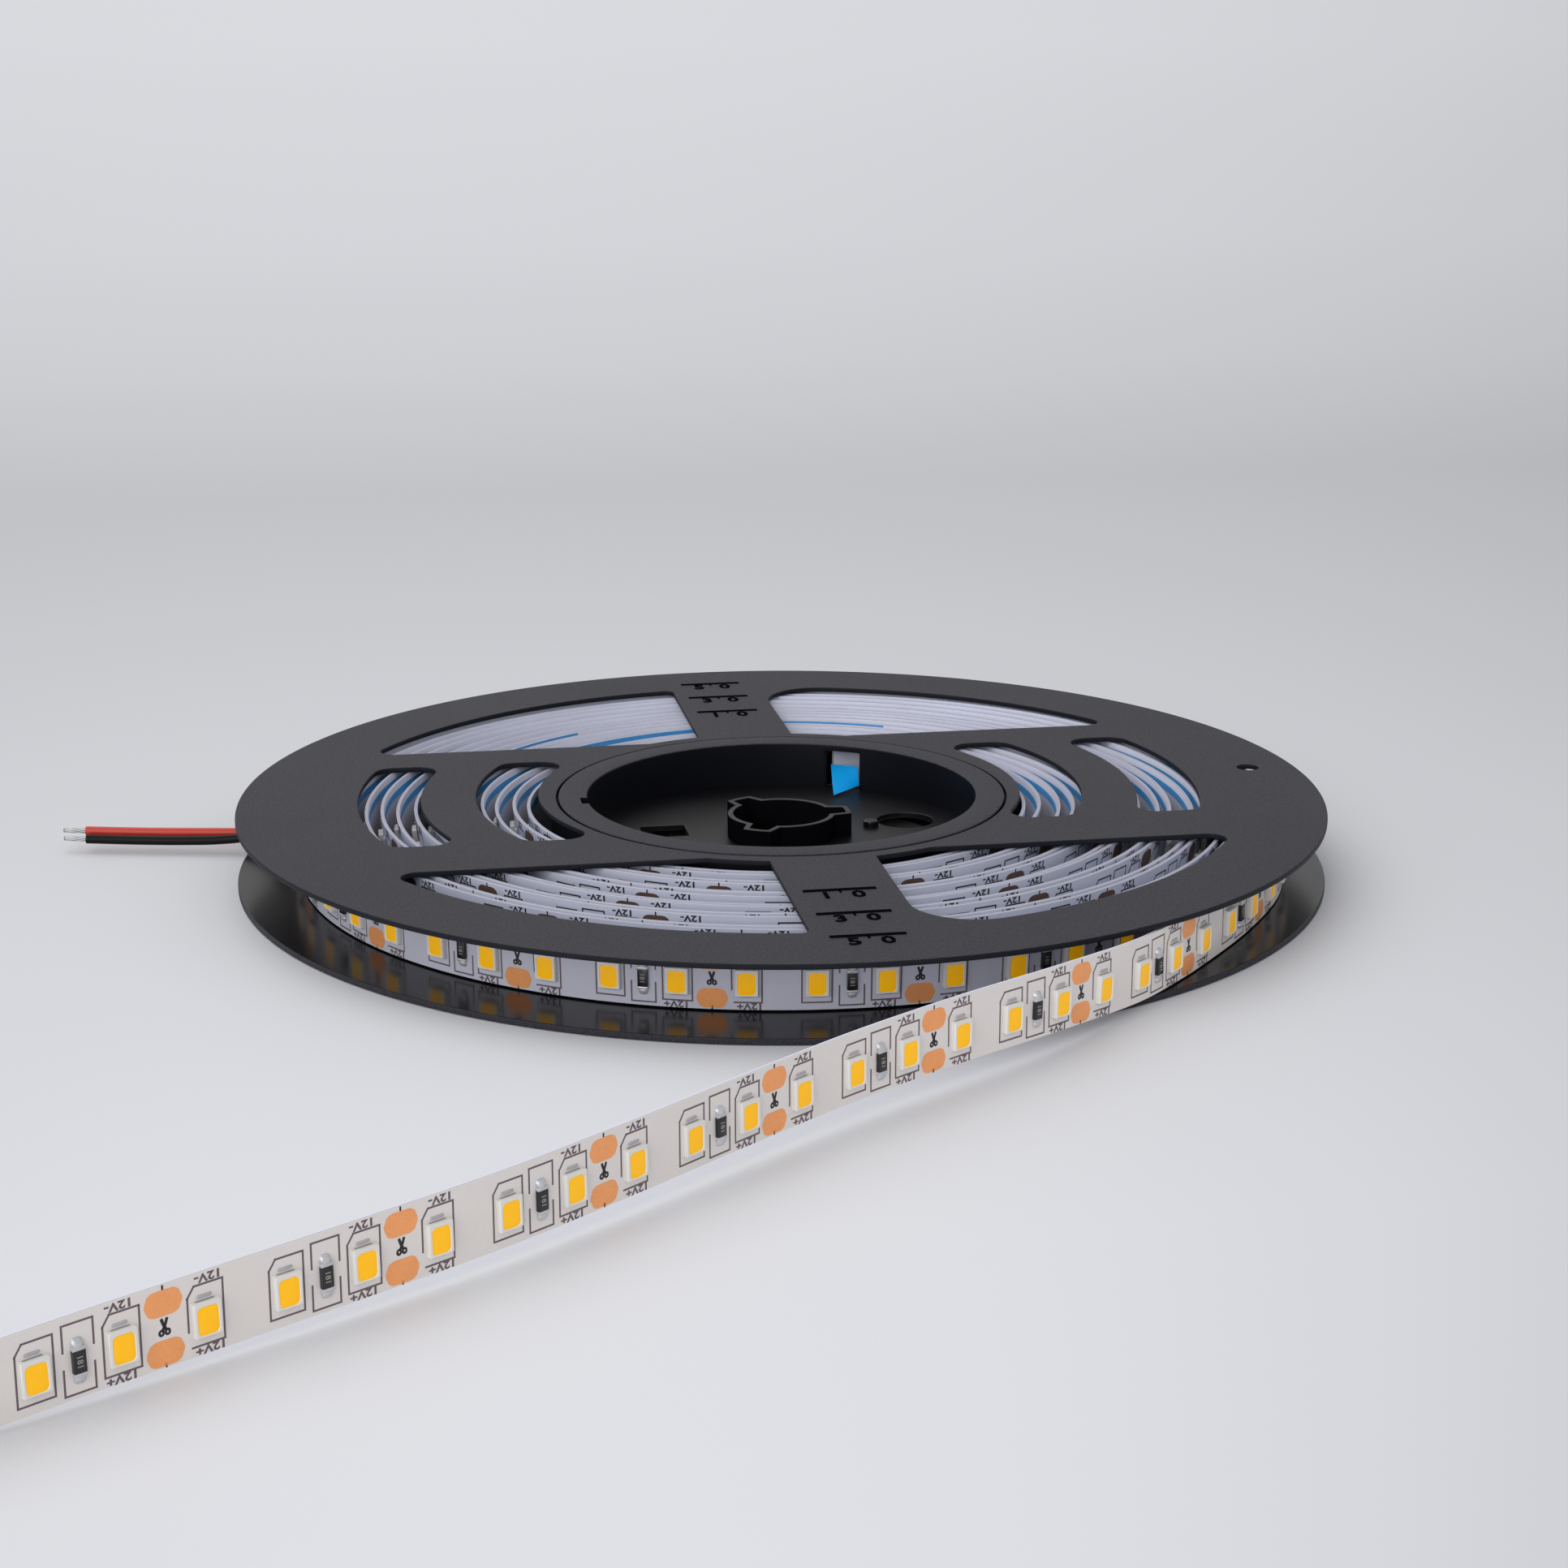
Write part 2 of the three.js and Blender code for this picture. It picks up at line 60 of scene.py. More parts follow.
# Spool, in millimetres
FLANGE_RADIUS = 75.0
FLANGE_THICKNESS = 0.8
REEL_HEIGHT = 10.0
UPPER_FLANGE_BOTTOM = 9.2
FLANGE_EDGE = 0.16
FLANGE_CLEARANCE = 0.3
WINDOW_OUTER = 63.3
WINDOW_CORNERS = {1: 8.0, -1: 1.2}
BAND_HALF = 30.0
SPOKE_HALF = 7.0
COLLAR = 33.4
SLOT_STARTS = (33.6, 49.8)
SLOT_WIDTH = 8.6
SLOT_HALF = 20.3
SLOT_SHIFT = 2.0
TIE_HOLE_RADIUS = 1.55
TIE_HOLE_INSET = 6.8
CUP_RADIUS = 27.0
CUP_OUTER = 28.2
RING_RADIUS = 31.0
DRUM_INNER = 30.8
DRUM_RADIUS = 32.0
RING_UNDERSIDE = 8.2
SHOULDER_HEIGHT = 9.0
WEB_TOP = 3.7
WEB_THICKNESS = 0.8
WEB_SLOT = ((-19.05, 2.0), (-12.75, 7.6))
WEB_HOLE = (18.6, 4.6)
WEB_HOLE_RADIUS = 4
ARBOR_BORE = (6.7, 9.0, 1.7)
ARBOR_WALL = (7.5, 9.8, 2.5)
ARBOR_HEIGHTS = (0.6, 7.0)
PEG = (13.2, 2.4)
PEG_RADIUS = 1.1
PEG_DEPTH = 0.4
PEG_HEIGHT = 0.9
NOTCH_HALF = 1.5
SLOT_BEARING = 61.0
END_OPENING = (0.9, 9.1)
END_OPENING_HALF = 2.7

# Length scale on the spokes: levels from the axis with their numbers, in millimetres
SCALE_LEVELS = ((46.5, "10"), (56.0, "30"), (65.0, "50"))
SCALE_REAR_SHIFT = 1.5
SCALE_LINE = (-5.1, 4.2)
SCALE_LINE_WEIGHT = 0.85
SCALE_TICK = (-0.5, 1.2)
SCALE_TICK_WEIGHT = 0.3
SCALE_DIGITS = (-2.5, 1.6)
SCALE_DIGIT_DROP = 2.1
SCALE_DIGIT_SIZE = 3.6
SCALE_DIGIT_WEIGHT = 0.09
SCALE_RELIEF = 0.07

# Strip, in millimetres
STRIP_WIDTH = 8.0
STRIP_THICKNESS = 0.45
STRIP_REST = 1.0
COIL_INNER = 33.0
COIL_OUTER = 65.5
COIL_TURNS = 14
INNER_END_RADIUS = 28.7
INNER_END_TURN = 14.0
INNER_END_LEAD = 4.0
LAMP_PITCH = 25 / 3
LAMP_HEIGHT = 3.6
RUN_LAMPS = 26
RUN_RESISTORS = 8
OUTER_LAMPS = 46
JOINT_SHIFT = -2.3
UNEVEN_RADIUS = 0.2
UNEVEN_HEIGHT = 0.14
EVEN_OUTER_ANGLE = 120
FADE_ANGLE = 200
PAIR_OFFSET = 0.55
LEAN = 0.7
# Heights on the wound turns' backs: white liner above the first, blue painted shade between, grey
# painted shade below the second.
LINER_SHADE_BANDS = (7.15, 6.2)
FACE_INSET = 0.03
LIP_INSET = 0.05
BOARD_BACK = 0.06
# From these lengths the coil's copies with painted shade begin: WOUND_FROM for the backs, top
# edges, print and pads, WOUND_FACE_FROM for the lamp side; the lean is measured from WOUND_FROM
# too.
WOUND_FROM = 650.0
WOUND_FACE_FROM = 214.0
BARE_END = 22.0

# Drawn-out run: bearing in degrees, distance beyond the flange's rim, share of the rest height
RUN_ROUTE = (
    (-25.6, -5.8, 1), (-39.4, -5.6, 1), (-52.9, -3.4, 1), (-59.2, -1.4, 1),
    (-65.3, 1.1, 1.1), (-76.6, 7.1, 2.0), (-86.7, 14.3, 2.3), (-95.0, 23.8, 2.2),
    (-101.4, 35.7, 2.0), (-106.4, 48.9, 1.8), (-110.6, 62.6, 1.55), (-114.4, 76.3, 1.3),
    (-117.7, 90.2, 0.95), (-120.5, 104.5, 0.5), (-122.3, 115.7, 0),
)

# Lead wires, in metres from the reel axis
LEAD_DIAMETER = 0.0013
RED_ROUTE = (
    (-0.06485, 0.01685, 0.0026), (-0.0672, 0.0172, 0.0026), (-0.0706, 0.0177, 0.00255),
    (-0.0747, 0.0184, 0.0025), (-0.079, 0.0192, 0.0025), (-0.0857, 0.0206, 0.00245),
    (-0.091, 0.0218, 0.00245), (-0.0963, 0.023, 0.0025),
)
BLACK_ROUTE = (
    (-0.06515, 0.0153, 0.007), (-0.0674, 0.0156, 0.0062), (-0.0704, 0.016, 0.0042),
    (-0.0737, 0.0166, 0.0024), (-0.0777, 0.0174, 0.00185), (-0.082, 0.0182, 0.00172),
    (-0.088, 0.0195, 0.00168), (-0.0962, 0.0214, 0.00175),
)


def lay_camera():
    data = bpy.data.cameras.new("camera")
    data.sensor_width = 36
    data.lens = CAMERA_LENS
    camera = bpy.data.objects.new("camera", data)
    bpy.context.scene.collection.objects.link(camera)
    place = AXIS + Vector(CAMERA_PLACE)
    turn = Matrix.Rotation(CAMERA_TURN, 4, "Z")
    tilt = Matrix.Rotation(math.pi / 2 - CAMERA_DIP, 4, "X")
    roll = Matrix.Rotation(CAMERA_ROLL, 4, "Z")
    camera.matrix_world = Matrix.Translation(place) @ turn @ tilt @ roll
    bpy.context.scene.camera = camera


lay_camera()


# Shader groups

def new_group(name, inputs, outputs):
    group = bpy.data.node_groups.new(name, "ShaderNodeTree")
    for label, kind, default in inputs:
        socket = group.interface.new_socket(label, in_out="INPUT", socket_type=kind)
        socket.default_value = default
    for label, kind in outputs:
        group.interface.new_socket(label, in_out="OUTPUT", socket_type=kind)
    return group, group.nodes.new("NodeGroupInput"), group.nodes.new("NodeGroupOutput")


def math_node(tree, operation, first, second):
    made = tree.nodes.new("ShaderNodeMath")
    made.operation = operation
    for socket, value in zip(made.inputs, (first, second)):
        if isinstance(value, (int, float)):
            socket.default_value = value
        else:
            tree.links.new(value, socket)
    return made.outputs[0]


def noise(tree, scale, detail):
    coordinates = tree.nodes.new("ShaderNodeTexCoord")
    made = tree.nodes.new("ShaderNodeTexNoise")
    made.inputs["Detail"].default_value = detail
    tree.links.new(coordinates.outputs["Object"], made.inputs["Vector"])
    tree.links.new(scale, made.inputs["Scale"])
    return made.outputs["Fac"]


def build_surface_group():
    """Moulding tone: a cloudy colour change, a roughness change and a fine grain."""
    inputs = (
        ("Color", "NodeSocketColor", (0.5, 0.5, 0.5, 1)),
        ("Cloud Scale", "NodeSocketFloat", 60.0),
        ("Cloud Depth", "NodeSocketFloat", 0.1),
        ("Grain Scale", "NodeSocketFloat", 3000.0),
        ("Grain Tone", "NodeSocketFloat", 0.05),
        ("Roughness", "NodeSocketFloat", 0.5),
        ("Roughness Spread", "NodeSocketFloat", 0.1),
    )
    outputs = (
        ("Color", "NodeSocketColor"),
        ("Roughness", "NodeSocketFloat"),
        ("Height", "NodeSocketFloat"),
    )
    group, given, made = new_group("surface_tone", inputs, outputs)
    cloud = noise(group, given.outputs["Cloud Scale"], 3)
    grain = noise(group, given.outputs["Grain Scale"], 2)
    cloud_shift = math_node(group, "SUBTRACT", cloud, 0.5)
    grain_shift = math_node(group, "SUBTRACT", grain, 0.5)
    cloud_tone = math_node(group, "MULTIPLY", cloud_shift, given.outputs["Cloud Depth"])
    grain_tone = math_node(group, "MULTIPLY", grain_shift, given.outputs["Grain Tone"])
    tone = math_node(group, "ADD", math_node(group, "ADD", cloud_tone, grain_tone), 1.0)
    scaled = group.nodes.new("ShaderNodeVectorMath")
    scaled.operation = "SCALE"
    group.links.new(given.outputs["Color"], scaled.inputs[0])
    group.links.new(tone, scaled.inputs["Scale"])
    rough_shift = math_node(group, "MULTIPLY", cloud_shift, given.outputs["Roughness Spread"])
    rough = math_node(group, "ADD", rough_shift, given.outputs["Roughness"])
    group.links.new(scaled.outputs[0], made.inputs["Color"])
    group.links.new(rough, made.inputs["Roughness"])
    group.links.new(grain, made.inputs["Height"])
    return group


SURFACE_TONE = build_surface_group()


def finish_material(name, color, roughness, cloud, grain=(3000, 0.05), relief=0.0,
                    relief_depth=0.00005, rough_spread=0.1, **shader):
    """Material with its own values in the shared surface group. Colour is in sRGB, 0 to 255."""
    material = bpy.data.materials.new(name)
    material.use_nodes = True
    tree = material.node_tree
    bsdf = tree.nodes["Principled BSDF"]
    linear = [(value / 255 / 12.92 if value < 10 else ((value / 255 + 0.055) / 1.055) ** 2.4)
              for value in color]
    tone = tree.nodes.new("ShaderNodeGroup")
    tone.node_tree = SURFACE_TONE
    values = {
        "Color": (*linear, 1), "Cloud Scale": cloud[0], "Cloud Depth": cloud[1],
        "Grain Scale": grain[0], "Grain Tone": grain[1],
        "Roughness": roughness, "Roughness Spread": rough_spread,
    }
    for label, value in values.items():
        tone.inputs[label].default_value = value
    tree.links.new(tone.outputs["Color"], bsdf.inputs["Base Color"])
    tree.links.new(tone.outputs["Roughness"], bsdf.inputs["Roughness"])
    if relief:
        bump = tree.nodes.new("ShaderNodeBump")
        bump.inputs["Strength"].default_value = relief
        bump.inputs["Distance"].default_value = relief_depth
        tree.links.new(tone.outputs["Height"], bump.inputs["Height"])
        tree.links.new(bump.outputs["Normal"], bsdf.inputs["Normal"])
    for label, value in shader.items():
        bsdf.inputs[label.replace("_", " ")].default_value = value
    return material


satin_plastic = finish_material("satin_spool_plastic", (43, 42, 49), 0.55, (45, 0.24),
                                (3000, 1.6), relief=0.9, relief_depth=0.00016,
                                rough_spread=0.12, Specular_IOR_Level=0.22)
# Darker copy of the spool plastic for the upper flange's edges: painted shade.
shaded_edge_plastic = finish_material("spool_edge_painted_shade", (26, 28, 34), 0.5, (60, 0.3), (2600, 0.1),
                               relief=0.1, Specular_IOR_Level=0.12)
# Dark copy of the spool plastic for the hub web and the boss top: painted shade.
shaded_web_plastic = finish_material("hub_web_painted_shade", (11, 11, 14), 0.38, (50, 0.4), (2600, 0.3),
                              relief=0.4, rough_spread=0.2, Specular_IOR_Level=0.26)
# Near-black copy of the spool plastic for the raised scale marks and the boss walls: painted
# shade.
matte_shaded_plastic = finish_material("matte_spool_painted_shade", (11, 10, 14), 0.9, (60, 0.3), (2600, 0.1),
                                Specular_IOR_Level=0.0)
# Glossy copy of the spool plastic for the faces between the flanges and the peg; its darker
# colour is painted shade.
glossy_shaded_plastic = finish_material("glossy_spool_painted_shade", (17, 16, 18), 0.2, (45, 0.2),
                                (2600, 0.05), relief=0.05, rough_spread=0.08,
                                Specular_IOR_Level=0.27)
# Dark copy of the spool plastic for the hub's ring walls: painted shade.
shaded_hub_plastic = finish_material("shaded_hub_plastic", (15, 16, 22), 0.4, (60, 0.3), (2600, 0.1),
                              relief=0.1, Specular_IOR_Level=0.1)
board_white = finish_material("board_white", (226, 220, 216), 0.42, (140, 0.05),
                              (1800, 0.05), relief=0.15)
# Board edge: its own brownish tone, made darker still as painted shade on the top edge.
board_edge = finish_material("board_edge", (172, 164, 156), 0.7, (400, 0.3))
liner_white = finish_material("tape_liner", (222, 223, 240), 0.38, (90, 0.12), (1500, 0.06),
                              relief=0.1)
# Darker copy of the liner for the wound turns' top edges: painted shade.
shaded_liner_edge = finish_material("shaded_liner_edge", (160, 160, 176), 0.5, (90, 0.2), (1500, 0.1))
# Blue for the band of painted shade on the wound turns' backs, and for the blue marks of
# make_liner_marks.
blue_mark_and_shade = finish_material("blue_mark_and_shade", (62, 146, 208), 0.5, (160, 0.5), (1500, 0.3))
# Grey copy of the liner for the lower backs of the wound turns: painted shade.
shaded_liner_grey = finish_material("shaded_liner_grey", (190, 191, 206), 0.42, (120, 0.2), (1500, 0.1))
# Darker, bluer copy of board_white for the lamp side of the wound turns: painted shade.
shaded_wound_white = finish_material("shaded_wound_board_white", (197, 198, 211), 0.42, (140, 0.05),
                              (1800, 0.05), relief=0.15)
print_ink = finish_material("print_ink", (102, 88, 95), 0.6, (900, 0.4), (5000, 0.4))
# Dark ink of the cut marks and scissors; the print on the wound turns takes it too, as painted
# shade.
mark_ink_and_shade = finish_material("mark_ink_and_shade", (34, 29, 34), 0.6, (900, 0.4), (5000, 0.4))
bare_copper = finish_material("bare_copper_pad", (248, 166, 104), 0.42, (500, 0.16),
                              (4000, 0.16), relief=0.2, Metallic=0.25)
# Dark brown copy of the copper pads for the wound turns: painted shade.
shaded_copper = finish_material("shaded_wound_copper_pad", (84, 62, 50), 0.5, (500, 0.3),
                              (4000, 0.2), relief=0.2)
solder = finish_material("solder", (176, 176, 176), 0.3, (900, 0.5), (4000, 0.2),
                         relief=0.4, Metallic=0.85)
solder_dome = finish_material("solder_dome", (198, 198, 202), 0.26, (900, 0.3), (3000, 0.2),
                              relief=0.3, Metallic=0.35)
dull_tin = finish_material("dull_tin", (176, 173, 177), 0.5, (900, 0.25), (4000, 0.15),
                           relief=0.2, Metallic=0.1)
lamp_white = finish_material("lamp_package", (226, 224, 219), 0.32, (300, 0.04), (3000, 0.02),
                             Subsurface_Weight=0.05, Subsurface_Scale=0.0005)
# The phosphor carries a faint orange emission: a painted glow.
phosphor = finish_material("phosphor_gel_painted_glow", (255, 190, 8), 0.4, (600, 0.08), (5200, 0.1),
                           relief=0.25, Specular_IOR_Level=0.3, Coat_Weight=0.1,
                           Emission_Color=(1.0, 0.46, 0.0, 1), Emission_Strength=0.16)
wound_phosphor = finish_material("wound_phosphor_gel", (250, 196, 40), 0.5, (600, 0.08),
                                 (5200, 0.1), relief=0.25, Specular_IOR_Level=0.3)
chip_black = finish_material("resistor_coat", (30, 30, 33), 0.35, (900, 0.2), (4000, 0.2),
                             relief=0.1)
chip_digits = finish_material("resistor_digits", (150, 146, 138), 0.5, (900, 0.2))
tape_blue = finish_material("tape_blue", (0, 156, 230), 0.5, (200, 0.2), (2500, 0.2),
                            relief=0.3, Specular_IOR_Level=0.2)
sleeve_red = finish_material("red_sleeve", (190, 48, 27), 0.38, (300, 0.1), (2500, 0.08),
                             relief=0.15)
sleeve_black = finish_material("black_sleeve", (8, 8, 10), 0.42, (300, 0.2), (2500, 0.1),
                               relief=0.15, Specular_IOR_Level=0.16)


# Mesh stock

class Stock:
    """Collects faces, in millimetres from the reel axis, for one piece."""

    def __init__(self, *materials):
        self.materials = materials
        self.points, self.faces, self.kinds, self.smooth = [], [], [], []
        self.count = 0

    def add(self, points, faces, kind=0, smooth=True):
        self.points.append(np.asarray(points, float).reshape(-1, 3))
        self.faces += [tuple(self.count + i for i in face) for face in faces]
        kinds = kind if isinstance(kind, (list, tuple)) else [kind] * len(faces)
        self.kinds += list(kinds)
        self.smooth += [smooth] * len(faces)
        self.count += len(self.points[-1])

    def add_mesh(self, mesh, kind):
        points = [tuple(vertex.co) for vertex in mesh.vertices]
        kinds = [kind(face) if callable(kind) else kind for face in mesh.polygons]
        self.add(points, [tuple(face.vertices) for face in mesh.polygons], kinds)

    def finish(self, name, slot, *nodes, sharp=None):
        mesh = bpy.data.meshes.new(name)
        points = np.vstack(self.points) * MM
        points[:, 0] += AXIS.x
        points[:, 1] += AXIS.y
        mesh.from_pydata(points.tolist(), [], self.faces)
        for material in self.materials:
            mesh.materials.append(material)
        mesh.polygons.foreach_set("material_index", self.kinds)
        mesh.polygons.foreach_set("use_smooth", self.smooth)
        if sharp is not None:
            mesh.set_sharp_from_angle(angle=math.radians(sharp))
        mesh.validate()
        mesh.update()
        return settle(bpy.data.objects.new(name, mesh), slot, *nodes)


def settle(piece, slot, *nodes):
    bpy.context.scene.collection.objects.link(piece)
    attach(piece, "root")
    if nodes:
        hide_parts(*nodes)
    return piece


def plate(outline, holes, bottom, top, edge, steps=2):
    """Flat moulding with rounded edges, cut from an outline and its holes, as a mesh."""
    curve = bpy.data.curves.new("outline", "CURVE")
    curve.dimensions = "2D"
    curve.fill_mode = "BOTH"
    for loop in [outline, *holes]:
        spline = curve.splines.new("POLY")
        spline.points.add(len(loop) - 1)
        for knot, (x, y) in zip(spline.points, loop):
            knot.co = (x, y, 0, 1)
        spline.use_cyclic_u = True
    curve.extrude = (top - bottom) / 2 - edge
    curve.bevel_depth = edge
    curve.bevel_resolution = steps
    curve.offset = -edge
    blank = bpy.data.objects.new("outline", curve)
    bpy.context.scene.collection.objects.link(blank)
    bpy.context.view_layer.update()
    shaped = blank.evaluated_get(bpy.context.evaluated_depsgraph_get())
    mesh = bpy.data.meshes.new_from_object(shaped)
    mesh.transform(Matrix.Translation((0, 0, (top + bottom) / 2)))
    bpy.data.objects.remove(blank)
    return mesh


def lathe(profile, segments=192):
    """Ring turned from a closed profile of (radius, height), as a mesh."""
    angles = np.linspace(0, 2 * math.pi, segments, endpoint=False)
    points = [(r * math.cos(a), r * math.sin(a), z) for a in angles for r, z in profile]
    count = len(profile)
    faces = []
    for i in range(segments):
        for j in range(count):
            near, far = i * count, ((i + 1) % segments) * count
            k = (j + 1) % count
            faces.append((near + j, far + j, far + k, near + k))
    mesh = bpy.data.meshes.new("ring")
    mesh.from_pydata(points, [], faces)
    return mesh


def rounded(profile, radius, steps=3):
    """Closed profile with each corner rounded."""
    made = []
    count = len(profile)
    for i in range(count):
        before, here, after = (np.array(profile[(i + j) % count], float) for j in (-1, 0, 1))
        to_before, to_after = before - here, after - here
        reach = min(radius, 0.45 * np.linalg.norm(to_before), 0.45 * np.linalg.norm(to_after))
        start = here + to_before / np.linalg.norm(to_before) * reach
        end = here + to_after / np.linalg.norm(to_after) * reach
        for t in np.linspace(0, 1, steps + 1):
            made.append(tuple((1 - t) ** 2 * start + 2 * t * (1 - t) * here + t ** 2 * end))
    return made


def cut(mesh, cutters):
    """The mesh less the cutters, by exact booleans."""
    body = bpy.data.objects.new("body", mesh)
    bpy.context.scene.collection.objects.link(body)
    tools = []
    for cutter in cutters:
        tool = bpy.data.objects.new("tool", cutter)
        bpy.context.scene.collection.objects.link(tool)
        modifier = body.modifiers.new("cut", "BOOLEAN")
        modifier.operation = "DIFFERENCE"
        modifier.solver = "EXACT"
        modifier.object = tool
        tools.append(tool)
    bpy.context.view_layer.update()
    shaped = body.evaluated_get(bpy.context.evaluated_depsgraph_get())
    result = bpy.data.meshes.new_from_object(shaped)
    for used in [body, *tools]:
        bpy.data.objects.remove(used)
    return result


def block(low, high, bearing=0.0):
    """Box mesh between two corners, turned about the reel axis."""
    made = bmesh.new()
    bmesh.ops.create_cube(made, size=1)
    size = [b - a for a, b in zip(low, high)]
    middle = [(a + b) / 2 for a, b in zip(low, high)]
    bmesh.ops.scale(made, vec=size, verts=made.verts)
    bmesh.ops.translate(made, vec=middle, verts=made.verts)
    mesh = bpy.data.meshes.new("block")
    made.to_mesh(mesh)
    made.free()
    mesh.transform(Matrix.Rotation(math.radians(bearing), 4, "Z"))
    return mesh


# Spool outlines

def circle(radius, count, centre=(0.0, 0.0)):
    angles = np.linspace(0, 2 * math.pi, count, endpoint=False)
    return [(centre[0] + radius * math.cos(a), centre[1] + radius * math.sin(a)) for a in angles]


def arc(centre, radius, start, end, count):
    return [(centre[0] + radius * math.cos(a), centre[1] + radius * math.sin(a))
            for a in np.linspace(start, end, count)]


def window_outline(corner_radius, tip_radius=2.2):
    corner_x = SPOKE_HALF + corner_radius
    corner = (corner_x, math.sqrt((WINDOW_OUTER - corner_radius) ** 2 - corner_x ** 2))
    tip_y = BAND_HALF + tip_radius
    tip = (math.sqrt((WINDOW_OUTER - tip_radius) ** 2 - tip_y ** 2), tip_y)
    corner_angle = math.atan2(corner[1], corner[0])
    tip_angle = math.atan2(tip[1], tip[0])
    collar_end = math.asin(BAND_HALF / COLLAR)
    collar_start = math.acos(SPOKE_HALF / COLLAR)
    return [
        *arc(corner, corner_radius, math.pi, corner_angle, 14),
        *arc((0, 0), WINDOW_OUTER, corner_angle, tip_angle, 40)[1:-1],
        *arc(tip, tip_radius, tip_angle, -math.pi / 2, 10),
        *arc((0, 0), COLLAR, collar_end, collar_start, 8),
    ]


def slot_outline(start, corner=2.8):
    end = start + SLOT_WIDTH
    level = SLOT_HALF - corner
    outer = (math.sqrt((end - corner) ** 2 - level ** 2), level)
    inner = (math.sqrt((start + corner) ** 2 - level ** 2), level)
    outer_angle = math.atan2(level, outer[0])
    inner_angle = math.atan2(level, inner[0])
    upper = [
        *arc((0, 0), end, 0, outer_angle, 14)[1:-1],
        *arc(outer, corner, outer_angle, math.pi / 2, 8),
        *arc(inner, corner, math.pi / 2, inner_angle + math.pi, 8),
        *arc((0, 0), start, inner_angle, 0, 12)[1:-1],
    ]
    lower = [(x, -y) for x, y in reversed(upper)]
    return [(x, y + SLOT_SHIFT) for x, y in [(end, 0), *upper, (start, 0), *lower]]


def flange_holes(bore):
    tie_place = (FLANGE_RADIUS - TIE_HOLE_INSET, SLOT_SHIFT)
    holes = [circle(bore, 192), circle(TIE_HOLE_RADIUS, 32, tie_place)]
    for side, corner in WINDOW_CORNERS.items():
        for end in (1, -1):
            holes.append([(x * side, y * end) for x, y in window_outline(corner)])
        for start in SLOT_STARTS:
            holes.append([(x * side, y) for x, y in slot_outline(start)])
    return holes


def arbor_outline(radius, reach, half):
    side, tip = math.asin(half / radius), math.asin(half / reach)
    points = []
    for i in range(3):
        bearing = 2 * math.pi * i / 3
        following = bearing + 2 * math.pi / 3
        points += arc((0, 0), reach, bearing - tip * 0.8, bearing + tip * 0.8, 7)
        points += arc((0, 0), radius, bearing + side, following - side, 22)
    return points


# Spool pieces, with the order of their finishes

# Every finish but satin is a darker copy of the spool plastic, its darkness painted shade; gloss
# is also smoother.
SATIN, GLOSS, SHADED, MATTE, WEB = range(5)


def glyphs(text, size, weight):
    """Points and faces of a line of lettering, centred on its own middle."""
    curve = bpy.data.curves.new("lettering", "FONT")
    curve.body = text
    curve.size = size
    curve.resolution_u = 2
    curve.align_x = "CENTER"
    curve.align_y = "CENTER"
    curve.offset = weight
    blank = bpy.data.objects.new("lettering", curve)
    bpy.context.scene.collection.objects.link(blank)
    bpy.context.view_layer.update()
    shaped = blank.evaluated_get(bpy.context.evaluated_depsgraph_get())
    mesh = bpy.data.meshes.new_from_object(shaped)
    bpy.data.objects.remove(blank)
    points = np.array([vertex.co[:2] for vertex in mesh.vertices])
    points -= (points.max(0) + points.min(0)) / 2
    return points, [tuple(face.vertices) for face in mesh.polygons]


def raised(outline_points, faces, bottom, top):
    """Low relief standing on a flat face, with side walls round its rim."""
    count = len(outline_points)
    upper = [(x, y, top) for x, y in outline_points]
    lower = [(x, y, bottom) for x, y in outline_points]
    edges = {}
    for face in faces:
        for a, b in zip(face, (*face[1:], face[0])):
            edges[(a, b)] = edges.get((a, b), 0) + 1
    walls = [(a, a + count, b + count, b) for a, b in edges if (b, a) not in edges]
    return upper + lower, [*faces, *walls]


def stroke(path, width):
    """Flat line of even width along a path of points, as points and faces."""
    path = np.asarray(path, float)
    ahead = np.gradient(path, axis=0)
    ahead /= np.linalg.norm(ahead, axis=1, keepdims=True)
    across = np.stack([-ahead[:, 1], ahead[:, 0]], -1) * width / 2
    points = np.vstack([path - across, path + across])
    count = len(path)
    faces = [(i, i + 1, i + 1 + count, i + count) for i in range(count - 1)]
    return points, faces


def spoke_scale(stock, top):
    """Raised length scale on the two spokes: lines, each with a tick and a plain number."""
    left, right = SCALE_LINE
    tick, reach = SCALE_TICK
    for end in (-1, 1):
        for level, number in SCALE_LEVELS:
            y = level * end + (SCALE_REAR_SHIFT if end > 0 else 0)
            shapes = [
                stroke([(left, y), (right, y)], SCALE_LINE_WEIGHT),
                stroke([(tick, y - reach), (tick, y)], SCALE_TICK_WEIGHT),
            ]
            for digit, x in zip(number, SCALE_DIGITS):
                points, faces = glyphs(digit, SCALE_DIGIT_SIZE, SCALE_DIGIT_WEIGHT)
                shapes.append((points + (x, y - SCALE_DIGIT_DROP), faces))
            for points, faces in shapes:
                # The scale marks take the near-black copy: painted shade.
                stock.add(*raised(points, faces, top, top + SCALE_RELIEF), MATTE, smooth=False)


def flange_finish(face):
    """Satin on top, glossy below with a darker colour as painted shade, and painted shade round
    the edges.
    """
    if abs(face.normal.z) < 0.6:
        return SHADED
    return GLOSS if face.normal.z < 0 else SATIN


